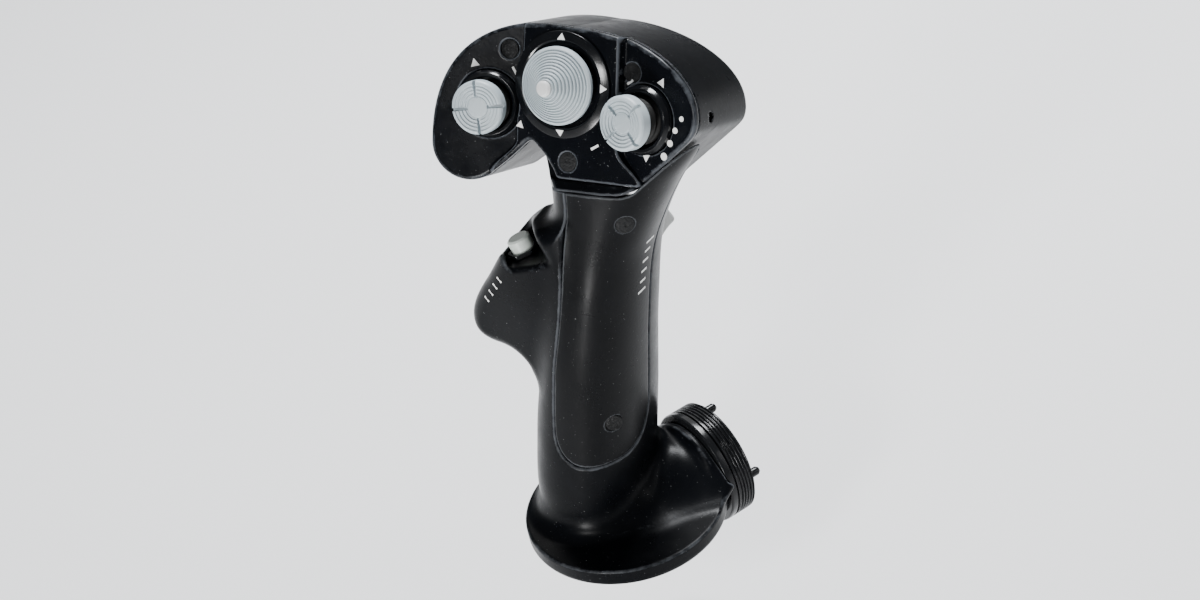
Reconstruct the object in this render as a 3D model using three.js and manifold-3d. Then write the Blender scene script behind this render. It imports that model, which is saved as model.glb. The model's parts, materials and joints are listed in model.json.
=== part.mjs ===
// Aircraft-style flight joystick grip: a curved hand grip with a thumb lobe and a round hand rest, a wide
// concave head carrying three thumb hats, an index-finger trigger and a threaded mounting collar.
// Millimetres, +Z up, +X to the pilot's right, -Y towards the pilot.
// The origin is the centre of the mounting collar's end face, where the grip meets the stick.

import * as THREE from "three";
import { mergeVertices } from "three/addons/utils/BufferGeometryUtils.js";
import Module from "manifold-3d";

const wasm = await Module();
wasm.setup();

// ---------- driving dimensions ----------

const DEGREE = Math.PI / 180;
const GAP = 0.3; // running or assembly gap between neighbouring pieces
const WALL = 2.6; // head casing wall
const GRIP_WALL = 4.4; // handle wall, thick enough for the palm cover's ledge

// hand rest: the disc under the hand; the grip is drawn in a frame on the middle of its top
const REST_CENTRE = new THREE.Vector3(-19.3, -36.1, 3.8);
const REST_RADIUS = 36.2;
const REST_THICKNESS = 7.6;
const REST_SHIFT = { x: -0.9, y: -0.4 }; // the disc's middle in the grip's frame

// handle: sections from the bottom up, [height, centre x, centre y, left half, right half, depth half]
const HANDLE = [
  [-3, -11.6, 3.8, 21, 19, 25],
  [15, -10.7, 5, 21.2, 19, 25],
  [40, -6.5, 8, 21.6, 18.5, 24.5],
  [69, -2, 10.5, 18.5, 18, 24],
  [95, 3.5, 14, 17.5, 16.6, 23],
  [106, 5.6, 16.2, 17.5, 16.9, 22.7],
  [118, 8.1, 18, 17.5, 20, 22.5],
  [128, 9, 19.2, 17.5, 24.8, 22.5],
  [135, 9, 20, 17.5, 29.6, 22.5],
  [141, 9, 20, 17.5, 35, 22.5],
  [146, 9, 20, 17, 37, 22],
];
const HANDLE_ROUNDNESS = 2.2; // exponent of the section's superellipse
const SECTION_POINTS = 20;

// thumb lobe on the handle's left, drawn in the XZ plane
const LOBE_MIDDLE_Y = 6;
const LOBE_THICKNESS = 18;
const LOBE_BEVEL = 5;

// head: a flat outline drawn in the face plane and carried straight back
const FACE_ORIGIN = new THREE.Vector3(1.23, 10, 165.6); // centre of the trim hat's rim
const FACE_LEAN = 65.8 * DEGREE; // turns +Z onto the face's outward normal
const HEAD_BACK = -41.5; // depth of the head's back below the trim hat's rim
const HEAD_BACK_ROUND = 3;
const CENTRE_DEPTH = -5; // the face's middle zone below the trim hat's rim
const WING_DEPTH = -7.9; // inner edge of each wing
const WING_SLOPE = Math.tan(11.4 * DEGREE);
const LEFT_STEP = -17.4; // where the middle zone steps down to each wing
const RIGHT_STEP = 20;
const CREASE_V = -30.5; // bottom edge of the face plate across the neck
const CREASE_LEFT = -12; // the crease's left end, in the thumb notch
const NECK_V = -34; // joint between the head and the handle
const APRON_SLOPE = 0.83;

// thumb hats
const LEFT_HAT = { x: -27.9, v: -8.5 };
const RIGHT_HAT = { x: 28.7, v: -8.8 };
const HAT_DEPTH = -6; // the middle of each side hat's bezel
const HAT_KNOB_RADIUS = 8.7;
const HAT_BEZEL_RADIUS = 11;
const HAT_LEAN = 11 * DEGREE; // each side hat leans towards the middle, square to its wing
const TRIM_RADIUS = 12.5;
const TRIM_HEIGHT = 8.56;
const BOSS_INNER = 13.6;
const BOSS_OUTER = 17.2;

// casing screws, and the set screw in the head's right side, in the face's frame
const SCREW_HEAD = 2.9;
const SCREW_SHANK = 1.5;
const SET_SCREW = { x: 47.4, v: -7, w: -13 };

// trigger
const TRIGGER_X = 6;
const TRIGGER_WIDTH = 13;
const TRIGGER_PIVOT = { y: 30, z: 108 };
const TRIGGER_PIN_RADIUS = 1.5;
const TRIGGER_SLOT = { low: 85, high: 112.5 };

// release button in the thumb lobe
const BUTTON_BASE = new THREE.Vector3(-21.4, 5, 102);
const BUTTON_LEAN = 18 * DEGREE;
const BUTTON_RADIUS = 4.1;
const BUTTON_NUT_RADIUS = 6; // across its corners
const POCKET_RADIUS = 6.6;
const POCKET_TURN = 24 * DEGREE; // the pocket's open side, turned from -Y towards +X

// mounting collar, drawn along its own +Y axis from the end face at 0
const COLLAR_YAW = 28 * DEGREE;
const COLLAR_RADIUS = 21.75;
const COLLAR_BORE = 17.3;
const COLLAR_LENGTH = 11;
// the elbow's cone from the handle to the collar: [radius, bore radius, distance along the axis]
const ELBOW = [
  [11, 6.5, -34],
  [13.5, 9, -25],
  [15.8, 11, -16],
  [16.4, 11.2, -14.4],
  [18.9, 14, -13.4],
];
const SEAL_Y = -12.2;
const SEAL_RING = 16.8;
const SEAL_CORD = 0.75;
const PIN_CIRCLE = 19.5;
const PIN_RADIUS = 1.65;
const PIN_PROUD = 3.5;
const PIN_OFFSET = 6 * DEGREE;

// palm cover: bounds of the panel round the handle, [height, half angle]
const PALM_MIDDLE = 38 * DEGREE;
const PALM_THICKNESS = 2.2;
const PALM_EDGE = [
  [28.5, 32],
  [31, 44],
  [37, 51],
  [48.5, 54],
  [66, 54],
  [80, 53],
  [96, 53],
  [115, 54],
  [129, 52],
  [140, 50],
];

// ---------- materials ----------

const plastic = (color, roughness) => new THREE.MeshStandardMaterial({ color, roughness, metalness: 0 });
const metal = (color, roughness) => new THREE.MeshStandardMaterial({ color, roughness, metalness: 1 });
const materials = {
  casing: plastic(0x0c0d10, 0.3),
  gloss: plastic(0x08090b, 0.15),
  rubber: plastic(0x0b0b0b, 0.7),
  hat: plastic(0xb4bec3, 0.5),
  tip: plastic(0xcfcfcf, 0.45),
  trigger: plastic(0x96968f, 0.5),
  button: plastic(0xc8d0c8, 0.4),
  collar: metal(0x17181a, 0.35),
  steel: metal(0x9a9c9f, 0.3),
  spring: metal(0x8f9296, 0.35),
  brass: metal(0xb08d4a, 0.3),
  potting: plastic(0x121416, 0.6),
  insert: plastic(0x2c3a2e, 0.6),
  wire: plastic(0x3a3d42, 0.6),
};

// ---------- solids ----------

// A closed three.js geometry as a manifold solid.
function solid(geometry) {
  const bare = geometry.clone();
  bare.deleteAttribute("normal");
  bare.deleteAttribute("uv");
  const merged = mergeVertices(bare, 1e-4);
  return new wasm.Manifold(
    new wasm.Mesh({
      numProp: 3,
      vertProperties: new Float32Array(merged.attributes.position.array),
      triVerts: new Uint32Array(merged.index.array),
    }),
  );
}

function geometryOf(manifold) {
  const mesh = manifold.getMesh();
  return new THREE.BufferGeometry()
    .setAttribute("position", new THREE.BufferAttribute(new Float32Array(mesh.vertProperties), 3))
    .setIndex(new THREE.BufferAttribute(new Uint32Array(mesh.triVerts), 1));
}

const join = (first, ...others) => others.reduce((sum, other) => sum.add(other), first);
const cut = (first, ...others) => others.reduce((rest, other) => rest.subtract(other), first);

// A closed skin through rings of equal length, with flat fans over both ends.
function loft(rings) {
  const count = rings[0].length;
  const points = rings.flat();
  const faces = [];
  for (let row = 0; row + 1 < rings.length; row++) {
    for (let i = 0; i < count; i++) {
      const next = (i + 1) % count;
      const low = row * count;
      const high = low + count;
      faces.push(low + i, low + next, high + next, low + i, high + next, high + i);
    }
  }
  [0, rings.length - 1].forEach((row) => {
    const middle = new THREE.Vector3();
    rings[row].forEach((point) => middle.addScaledVector(point, 1 / count));
    points.push(middle);
    for (let i = 0; i < count; i++) {
      const next = (i + 1) % count;
      const base = row * count;
      if (row === 0) faces.push(points.length - 1, base + next, base + i);
      else faces.push(points.length - 1, base + i, base + next);
    }
  });
  return new THREE.BufferGeometry().setFromPoints(points).setIndex(faces);
}

// A turned piece about +Z from [radius, height] points; a ring's profile closes on itself.
function turned(profile, segments = 32, ring = false) {
  const points = profile.map(([r, z]) => new THREE.Vector2(r, z));
  if (ring) points.push(points[0].clone());
  return new THREE.LatheGeometry(points, segments).rotateX(Math.PI / 2);
}

const rod = (radius, low, high, segments = 24) =>
  turned(
    [
      [0, low],
      [radius, low],
      [radius, high],
      [0, high],
    ],
    segments,
  );

const tube = (inner, outer, low, high, segments = 32) =>
  turned(
    [
      [inner, low],
      [outer, low],
      [outer, high],
      [inner, high],
    ],
    segments,
    true,
  );

const block = (x0, x1, y0, y1, z0, z1) =>
  new THREE.BoxGeometry(x1 - x0, y1 - y0, z1 - z0).translate((x0 + x1) / 2, (y0 + y1) / 2, (z0 + z1) / 2);

const prism = (points, low, high) =>
  new THREE.ExtrudeGeometry(new THREE.Shape(points.map(([x, y]) => new THREE.Vector2(x, y))), {
    depth: high - low,
    bevelEnabled: false,
  }).translate(0, 0, low);

// An outline moved outwards by a distance along the mean of its neighbouring edges' normals.
function grown(points, distance) {
  const turn = THREE.ShapeUtils.isClockWise(points) ? -1 : 1;
  return points.map((point, i) => {
    const before = points[(i + points.length - 1) % points.length];
    const after = points[(i + 1) % points.length];
    const one = new THREE.Vector2(point.y - before.y, before.x - point.x).normalize();
    const two = new THREE.Vector2(after.y - point.y, point.x - after.x).normalize();
    const normal = one.clone().add(two).normalize();
    const reach = (turn * distance) / Math.max(0.5, normal.dot(one));
    return new THREE.Vector2(point.x + reach * normal.x, point.y + reach * normal.y);
  });
}

// Carries a shape drawn in a frame's Y and Z, and extruded, so that it runs along X.
const yzToXyz = new THREE.Matrix4().makeBasis(
  new THREE.Vector3(0, 1, 0),
  new THREE.Vector3(0, 0, 1),
  new THREE.Vector3(1, 0, 0),
);

// ---------- frames ----------

const joystick = new THREE.Group();

const grip = new THREE.Group();
grip.position.copy(REST_CENTRE);
joystick.add(grip);

const face = new THREE.Group();
face.position.copy(FACE_ORIGIN);
face.rotation.x = FACE_LEAN;
grip.add(face);

const collar = new THREE.Group();
collar.rotation.z = -COLLAR_YAW;
joystick.add(collar);

face.updateMatrix();
collar.updateMatrix();
const faceToGrip = face.matrix.clone();
const gripToFace = faceToGrip.clone().invert();
const originToGrip = new THREE.Matrix4().makeTranslation(REST_CENTRE.clone().negate());
const collarToGrip = originToGrip.multiply(collar.matrix);

function piece(parent, name, shape, material) {
  const geometry = shape.isBufferGeometry ? shape : geometryOf(shape);
  const mesh = new THREE.Mesh(geometry, material);
  mesh.name = name;
  parent.add(mesh);
  return mesh;
}

// ---------- handle ----------

function between(table, height, column) {
  const above = table.findIndex((row) => row[0] >= height);
  const i = above < 0 ? table.length - 1 : Math.max(1, above);
  const [low, high] = [table[i - 1], table[i]];
  const share = THREE.MathUtils.clamp((height - low[0]) / (high[0] - low[0]), 0, 1);
  return THREE.MathUtils.lerp(low[column], high[column], share);
}

// The handle's section at a height, as a ring; angle 0 faces the pilot and grows towards +X.
function sectionRing(height, inset) {
  const [x, y, left, right, depth] = [1, 2, 3, 4, 5].map((column) => between(HANDLE, height, column));
  return Array.from({ length: SECTION_POINTS }, (_, i) => {
    const angle = (i / SECTION_POINTS) * 2 * Math.PI;
    const half = Math.sin(angle) > 0 ? right : left;
    const power = 2 / HANDLE_ROUNDNESS;
    const across = Math.sign(Math.sin(angle)) * Math.abs(Math.sin(angle)) ** power;
    const along = -Math.sign(Math.cos(angle)) * Math.abs(Math.cos(angle)) ** power;
    return new THREE.Vector3(x + across * (half - inset), y + along * (depth - inset), height);
  });
}

function handleSolid(inset, low, high) {
  const inside = HANDLE.map((row) => row[0]).filter((height) => height > low && height < high);
  return solid(loft([low, ...inside, high].map((height) => sectionRing(height, inset))));
}

// ---------- thumb lobe ----------

function lobeOutline() {
  const outline = new THREE.Shape();
  outline.moveTo(0, 121);
  outline.lineTo(-15.5, 115.6);
  outline.bezierCurveTo(-26, 109, -30.5, 99.6, -38.3, 90);
  outline.bezierCurveTo(-42.5, 84.5, -46.8, 79, -46.9, 73);
  outline.bezierCurveTo(-46.9, 67.5, -42.5, 65, -36.5, 64.8);
  outline.bezierCurveTo(-31, 64.6, -27, 62.5, -25, 56.5);
  outline.lineTo(-12, 40);
  return outline;
}

function lobeSolid() {
  const shape = new THREE.ExtrudeGeometry(lobeOutline(), {
    depth: LOBE_THICKNESS - 2 * LOBE_BEVEL,
    bevelThickness: LOBE_BEVEL,
    bevelSize: LOBE_BEVEL,
    bevelOffset: -LOBE_BEVEL,
    bevelSegments: 2,
    curveSegments: 4,
  });
  return solid(shape.rotateX(Math.PI / 2).translate(0, LOBE_MIDDLE_Y + LOBE_THICKNESS / 2 - LOBE_BEVEL, 0));
}

// The release button's frame: its base on the pocket floor, +Z along the push axis.
const buttonFrame = new THREE.Matrix4()
  .makeTranslation(BUTTON_BASE)
  .multiply(new THREE.Matrix4().makeRotationY(-BUTTON_LEAN));

// ---------- head outline and face ----------

function headOutline() {
  const outline = new THREE.Shape();
  const lobe = { x: -35.4, v: -22, r: 12.4 };
  outline.moveTo(lobe.x - lobe.r, lobe.v);
  outline.bezierCurveTo(-47.8, 8.5, -29, 21.5, 2, 18.3);
  outline.bezierCurveTo(24, 18.3, 47, 8, 48.3, -6);
  outline.bezierCurveTo(48.9, -10.5, 46.5, -13.2, 43, -16.3);
  outline.lineTo(28.3, -29.8);
  outline.lineTo(23.5, NECK_V + 0.8);
  outline.lineTo(-1, NECK_V + 0.8);
  outline.bezierCurveTo(-2.4, -29, -5, -24.4, -9.6, -20.6);
  outline.bezierCurveTo(-11, -18.9, -12.2, -18.8, -14, -20.2);
  outline.absarc(lobe.x, lobe.v, lobe.r, -50 * DEGREE, -180 * DEGREE, true);
  return outline;
}

const headPoints = () => headOutline().getPoints(5).slice(0, -1);

// The zone above the joint with the handle, wide of the head except along its lower right edge.
const aboveJoint = [
  [-60, NECK_V],
  [22.5, NECK_V],
  [28.3, -29.8],
  [43, -16.3],
  [60, -0.7],
  [60, 40],
  [-60, 40],
].map(([x, v]) => new THREE.Vector2(x, v));

const wingDepth = (x, step) => WING_DEPTH + Math.abs(x - step) * WING_SLOPE;

// Everything in front of the face, pushed back by a distance.
function frontOfFace(back) {
  const profile = [
    [-60, wingDepth(-60, LEFT_STEP)],
    [LEFT_STEP + back, WING_DEPTH],
    [LEFT_STEP + back, CENTRE_DEPTH],
    [RIGHT_STEP - back, CENTRE_DEPTH],
    [RIGHT_STEP - back, WING_DEPTH],
    [60, wingDepth(60, RIGHT_STEP)],
  ].map(([x, w]) => [x, w - back]);
  // drawn in X and depth, then stood up along the face's own Y
  return solid(prism([...profile, [60, 60], [-60, 60]], -60, 60).rotateX(Math.PI / 2));
}

const extrudedHead = (points, low, high) => solid(prism(points.map((p) => [p.x, p.y]), low, high));

function roundedHead() {
  const shape = new THREE.ExtrudeGeometry(new THREE.Shape(headPoints()), {
    depth: 44 - HEAD_BACK_ROUND,
    bevelThickness: HEAD_BACK_ROUND,
    bevelSize: HEAD_BACK_ROUND,
    bevelOffset: -HEAD_BACK_ROUND,
    bevelSegments: 2,
  });
  return solid(shape.translate(0, 0, HEAD_BACK + HEAD_BACK_ROUND));
}

// ---------- fasteners' places ----------

const faceScrews = [
  [-21.2, 9.5],
  [23.5, 5.4],
  [2.1, -24.7],
].map(([x, v]) => ({ x, v }));
const POST_RADIUS = 3.2;

function faceDepth(x) {
  if (x < LEFT_STEP) return wingDepth(x, LEFT_STEP);
  return x > RIGHT_STEP ? wingDepth(x, RIGHT_STEP) : CENTRE_DEPTH;
}

// A frame on the handle's surface at a height, with +Z pointing out along the palm cover's middle.
function palmFrame(height, angle = PALM_MIDDLE) {
  const [x, y, , right, depth] = [1, 2, 3, 4, 5].map((column) => between(HANDLE, height, column));
  const out = new THREE.Vector3(Math.sin(angle), -Math.cos(angle), 0);
  const power = HANDLE_ROUNDNESS;
  const reach = ((Math.abs(out.x) / right) ** power + (Math.abs(out.y) / depth) ** power) ** (-1 / power);
  const up = new THREE.Vector3(0, 0, 1);
  const side = new THREE.Vector3().crossVectors(up, out);
  const at = new THREE.Vector3(x, y, height).addScaledVector(out, reach);
  return new THREE.Matrix4().makeBasis(side, up, out).setPosition(at);
}
const palmScrews = [palmFrame(44.6), palmFrame(122)];

// ---------- palm cover ----------

// The wedge round the handle that the palm cover fills, from the spine outwards.
function palmWedge(extra) {
  const arc = 10;
  const reach = 60;
  const back = 6 + 1.5 * extra;
  const rings = PALM_EDGE.map(([height, half], row) => {
    const z = height + (row === 0 ? -extra : 0);
    const x = between(HANDLE, z, 1);
    const y = between(HANDLE, z, 2);
    const out = new THREE.Vector3(Math.sin(PALM_MIDDLE), -Math.cos(PALM_MIDDLE), 0);
    const ring = [new THREE.Vector3(x, y, z).addScaledVector(out, -back)];
    const spread = half * DEGREE + extra / 20;
    for (let i = 0; i <= arc; i++) {
      const angle = PALM_MIDDLE + spread * ((2 * i) / arc - 1);
      ring.push(new THREE.Vector3(x + reach * Math.sin(angle), y - reach * Math.cos(angle), z));
    }
    return ring;
  });
  return solid(loft(rings));
}

const onFace = (geometry) => solid(geometry.clone().applyMatrix4(faceToGrip));
const headZone = (grow) => onFace(prism(grown(aboveJoint, grow).map((p) => [p.x, p.y]), -90, 60));

function palmCover() {
  const skin = cut(handleSolid(0, 20, 144), handleSolid(PALM_THICKNESS, 18, 146), headZone(GAP));
  const screws = palmScrews.flatMap((frame) => [
    solid(rod(SCREW_HEAD + GAP, -1.2, 6, 16).applyMatrix4(frame)),
    solid(rod(SCREW_SHANK + GAP, -6, 6, 12).applyMatrix4(frame)),
  ]);
  return cut(palmWedge(0).intersect(skin), ...screws);
}

// ---------- grip body ----------

// The round-ended cone through the elbow's outer radii (column 0) or bore radii (column 1), up to its mouth.
function elbowSolid(column, mouth) {
  const cone = ELBOW.map((row) => [row[column], row[2]]);
  const [tip, tipAt] = cone[0];
  const steps = 4;
  const dome = Array.from({ length: steps }, (_, i) => {
    const angle = (i / steps) * (Math.PI / 2);
    return [tip * Math.sin(angle), tipAt - tip * Math.cos(angle)];
  });
  const widest = cone[cone.length - 1][0];
  const shape = turned([...dome, ...cone, [widest, mouth], [0, mouth]], 22);
  // turned about +Z, then laid along the collar's +Y
  return solid(shape.rotateX(-Math.PI / 2).applyMatrix4(collarToGrip));
}

function restDisc() {
  const r = REST_RADIUS;
  const low = -REST_THICKNESS;
  return solid(
    turned(
      [
        [0, low],
        [r - 2.5, low],
        [r - 0.7, low + 1],
        [r, low + 2.6],
        [r, -1.2],
        [r - 1, 0],
        [0, 0],
      ],
      36,
    ).translate(REST_SHIFT.x, REST_SHIFT.y, 0),
  );
}

// Two lugs inside the handle's back wall, on either side of the trigger.
function triggerLugs() {
  const { y, z } = TRIGGER_PIVOT;
  const inner = TRIGGER_WIDTH / 2 + GAP + 0.6;
  return [-1, 1].map((side) => {
    const near = TRIGGER_X + side * inner;
    const far = TRIGGER_X + side * (inner + 2.8);
    return solid(block(Math.min(near, far), Math.max(near, far), y - 4, y + 4, z - 4, z + 4));
  });
}

const alongX = (geometry) => geometry.rotateY(Math.PI / 2);
const alongY = (geometry) => geometry.rotateX(-Math.PI / 2);

function gripBody() {
  const elbow = elbowSolid(0, -COLLAR_LENGTH - GAP);
  const outside = join(handleSolid(0, -3, 146), lobeSolid(), restDisc(), elbow);
  const hollow = join(handleSolid(GRIP_WALL, -1.5, 144), elbowSolid(1, -5));
  const underCover = handleSolid(PALM_THICKNESS + GAP, 10, 146);
  const palmRecess = palmWedge(GAP).subtract(underCover);
  const window = palmWedge(-3).intersect(solid(block(-60, 60, -60, 60, 53, 113)));
  const slotHalf = TRIGGER_WIDTH / 2 + 0.6;
  const slot = solid(
    block(TRIGGER_X - slotHalf, TRIGGER_X + slotHalf, 24, 60, TRIGGER_SLOT.low, TRIGGER_SLOT.high),
  );
  const pinHole = solid(
    alongX(rod(TRIGGER_PIN_RADIUS + GAP, -12, 12, 16)).translate(TRIGGER_X, TRIGGER_PIVOT.y, TRIGGER_PIVOT.z),
  );
  const pocket = join(
    solid(rod(POCKET_RADIUS, 0, 30).applyMatrix4(buttonFrame)),
    solid(block(-POCKET_RADIUS, POCKET_RADIUS, -30, 0, 0, 30).rotateZ(POCKET_TURN).applyMatrix4(buttonFrame)),
  );
  const barrel = solid(rod(4.5, -13, 1, 20).applyMatrix4(buttonFrame));
  const wireWay = solid(alongX(rod(2.2, 0, 21, 10)).translate(-19, BUTTON_BASE.y, 92));
  const onCollar = (geometry) => solid(alongY(geometry).applyMatrix4(collarToGrip));
  const groove = onCollar(tube(SEAL_RING - 1.05, SEAL_RING + 1.05, SEAL_Y - 0.9, SEAL_Y + 3, 28));
  const collarRoom = onCollar(rod(COLLAR_RADIUS + 0.9, -COLLAR_LENGTH - GAP, 12, 28));
  const atPalmScrews = (geometry) => palmScrews.map((frame) => solid(geometry.clone().applyMatrix4(frame)));
  const bosses = atPalmScrews(rod(3.6, -9, 0, 12)).map((boss) => boss.intersect(underCover));
  const threads = atPalmScrews(rod(SCREW_SHANK + GAP, -12, 2, 12));
  const shell = cut(outside, hollow, palmRecess, window, headZone(GAP));
  const lugs = triggerLugs().map((lug) => lug.intersect(handleSolid(1, 60, 140)));
  const trimmed = join(shell, ...lugs, ...bosses);
  return cut(trimmed, slot, pinHole, pocket, barrel, wireWay, groove, collarRoom, ...threads);
}

// ---------- head ----------

// The zone of the face plate: above the crease, and all of the left wing.
function plateZone(above) {
  const wide = solid(block(-60, 60, CREASE_V + above, 60, -30, 60));
  return join(wide, solid(block(-60, CREASE_LEFT, -60, 0, -30, 60)));
}

// Everything in front of the sloping apron below the crease, moved along the face's normal.
function frontOfApron(lift) {
  const bottom = NECK_V - 8;
  const apron = prism(
    [
      [CREASE_V, CENTRE_DEPTH + lift],
      [CREASE_V, 60],
      [bottom, 60],
      [bottom, CENTRE_DEPTH + lift + APRON_SLOPE * (CREASE_V - bottom)],
    ],
    CREASE_LEFT,
    60,
  );
  return solid(apron.applyMatrix4(yzToXyz));
}

function headHousing() {
  const neck = handleSolid(0, 100, 146).intersect(headZone(-GAP / 2));
  const neckHollow = handleSolid(GRIP_WALL, 90, 150);
  const toFace = (shape) => solid(geometryOf(shape).applyMatrix4(gripToFace));
  const inner = extrudedHead(grown(headPoints(), -WALL), HEAD_BACK + WALL, 10);
  const hollow = cut(join(inner, toFace(neckHollow)), frontOfApron(-WALL));
  const behindPlate = frontOfFace(WALL + GAP).intersect(plateZone(0));
  const shell = join(roundedHead(), toFace(neck));
  const opened = cut(shell, hollow, behindPlate, frontOfApron(0));
  const posts = faceScrews.map(({ x, v }) =>
    solid(rod(POST_RADIUS, HEAD_BACK + 1, faceDepth(x) - WALL - GAP - 0.4, 16).translate(x, v, 0)));
  const holes = faceScrews.map(({ x, v }) => solid(rod(SCREW_SHANK + GAP, -26, 5, 12).translate(x, v, 0)));
  const tapped = alongX(rod(1.6, -8, 8, 12));
  const setScrewHole = solid(tapped.translate(SET_SCREW.x - 2, SET_SCREW.v, SET_SCREW.w));
  return cut(join(opened, ...posts), ...holes, setScrewHole);
}

function headFaceplate() {
  const band = cut(frontOfFace(WALL), frontOfFace(0));
  const sheet = band.intersect(extrudedHead(headPoints(), -30, 30));
  const trimmed = sheet.intersect(plateZone(GAP));
  const hats = hatPlaces.map(({ frame, hole }) => solid(rod(hole, -12, 12, 24).applyMatrix4(frame)));
  const screws = faceScrews.flatMap(({ x, v }) => [
    solid(rod(SCREW_HEAD + GAP, faceDepth(x) - 1.4, 20).translate(x, v, 0)),
    solid(rod(SCREW_SHANK + GAP, -30, 20, 12).translate(x, v, 0)),
  ]);
  return cut(trimmed, ...hats, ...screws);
}

// ---------- thumb hats ----------

const sideHatFrame = ({ x, v }, lean) =>
  new THREE.Matrix4().makeTranslation(x, v, HAT_DEPTH).multiply(new THREE.Matrix4().makeRotationY(lean));

const hatPlaces = [
  { name: "left_hat", hole: HAT_BEZEL_RADIUS + GAP, frame: sideHatFrame(LEFT_HAT, HAT_LEAN) },
  { name: "right_hat", hole: HAT_BEZEL_RADIUS + GAP, frame: sideHatFrame(RIGHT_HAT, -HAT_LEAN) },
  { name: "trim_hat", hole: 10.4, frame: new THREE.Matrix4() },
];

// A hat switch can with a gimbal ring on two trunnions and a shaft on a cross pin; pivot is their height.
function hatMechanism(group, name, { pivot, rim, flange, outer, inner, depth, shaftTop, ringOuter }) {
  const holes = solid(alongX(rod(1.1, -20, 20, 8)).translate(0, 0, pivot));
  const can = solid(
    turned(
      [
        [0, rim - depth],
        [outer, rim - depth],
        [outer, rim - 1.7],
        [flange, rim - 1.7],
        [flange, rim],
        [inner, rim],
        [inner, rim - depth + 2],
        [0, rim - depth + 2],
      ],
      20,
    ),
  );
  piece(group, name + "_switch", cut(can, holes), materials.gloss);
  const ring = solid(tube(ringOuter - 1.8, ringOuter, pivot - 1.3, pivot + 1.3, 18));
  const trunnions = [
    [ringOuter - 1, outer - 0.5],
    [0.5 - outer, 1 - ringOuter],
  ].map(([low, high]) => solid(alongX(rod(0.8, low, high, 6)).translate(0, 0, pivot)));
  const crossHoles = solid(alongY(rod(1.1, -20, 20, 8)).translate(0, 0, pivot));
  piece(group, name + "_gimbal", join(cut(ring, crossHoles), ...trunnions), materials.brass);
  const shaft = join(
    solid(rod(1.8, pivot - 5, shaftTop, 12)),
    solid(alongY(rod(0.8, -(ringOuter - 0.5), ringOuter - 0.5, 6)).translate(0, 0, pivot)),
  );
  piece(group, name + "_shaft", shaft, materials.steel);
}

function knob() {
  const r = HAT_KNOB_RADIUS;
  const [low, high] = [7.2, 12];
  const profile = [
    [0, low + 2.4],
    [2.1, low + 2.4],
    [2.1, low],
    [r - 0.5, low],
    [r, low + 0.5],
    [r, high - 0.7],
    [r - 0.7, high],
    [r * 0.55, high - 0.5],
    [0, high - 0.8],
  ];
  const slots = [0, 1, 2, 3].map((i) =>
    solid(block(r - 2.4, r + 1, -0.35, 0.35, high - 1.2, high + 1).rotateZ((i * Math.PI) / 2)));
  return cut(solid(turned(profile, 24)), ...slots);
}

function boot(inner, foot, top, low, high) {
  return turned(
    [
      [foot - 1, low],
      [foot, low],
      [foot - 0.4, (low + high) / 2],
      [top, high],
      [inner, high],
      [inner, high - 1.2],
      [top - 1.2, high - 1.2],
      [foot - 1.4, (low + high) / 2],
    ],
    18,
    true,
  );
}

function sideHat({ name, frame }) {
  const group = new THREE.Group();
  group.applyMatrix4(frame);
  face.add(group);
  piece(group, name + "_bezel", tube(8.9, HAT_BEZEL_RADIUS, -3, 3, 24), materials.gloss);
  piece(group, name + "_boot", boot(2.2, 7.6, 6.2, 0.2, 6.9), materials.rubber);
  piece(group, name + "_knob", knob(), materials.hat);
  hatMechanism(group, name, {
    pivot: -5, rim: -3.3, flange: 10.7, outer: 8.6, inner: 7.2, depth: 13, shaftTop: 9.2, ringOuter: 5.6,
  });
}

function trimHat({ name, frame }) {
  const group = new THREE.Group();
  group.applyMatrix4(frame);
  face.add(group);
  const cone = [
    [0, -0.6],
    [2.1, -0.6],
    [2.1, -1],
    [10.6, -1],
    [11, -2],
    [TRIM_RADIUS, -2],
    [TRIM_RADIUS, -0.2],
    [11.6, 0.3],
    [8.6, 1.7],
    [5.6, 3.8],
    [3.6, 6],
    [2.9, 6.8],
    [0, 6.8],
  ];
  piece(group, name + "_cone", turned(cone, 26), materials.hat);
  const tip = [
    [0, 7.1],
    [2.6, 7.1],
    [2.6, 7.6],
    [1.9, 8.3],
    [0, TRIM_HEIGHT],
  ];
  piece(group, name + "_tip", turned(tip, 14), materials.tip);
  piece(group, name + "_boot", boot(2.2, 8.4, 7, -5.6, -1.3), materials.rubber);
  const bossRing = [
    [BOSS_INNER, CENTRE_DEPTH + GAP],
    [BOSS_OUTER, CENTRE_DEPTH + GAP],
    [BOSS_OUTER - 0.3, CENTRE_DEPTH + 0.9],
    [BOSS_INNER + 0.4, -3.2],
    [BOSS_INNER, -3.4],
  ];
  piece(group, "trim_boss_ring", turned(bossRing, 32, true), materials.gloss);
  hatMechanism(group, name, {
    pivot: -10, rim: -8, flange: 12.6, outer: 10, inner: 8.4, depth: 14, shaftTop: -0.9, ringOuter: 6.6,
  });
}

// ---------- trigger ----------

function triggerOutline() {
  const { y, z } = TRIGGER_PIVOT;
  const outline = new THREE.Shape();
  outline.absarc(y, z, 3.6, 180 * DEGREE, 60 * DEGREE, true);
  outline.bezierCurveTo(38, 108.4, 44.5, 100.5, 49, 92.2);
  outline.bezierCurveTo(49.6, 90.8, 48.6, 89.6, 47, 89.8);
  outline.bezierCurveTo(43, 90.6, 37, 90.4, 31.5, 88);
  outline.lineTo(31.5, 100);
  outline.quadraticCurveTo(28, 103, y - 3.6, z);
  return outline;
}

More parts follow.
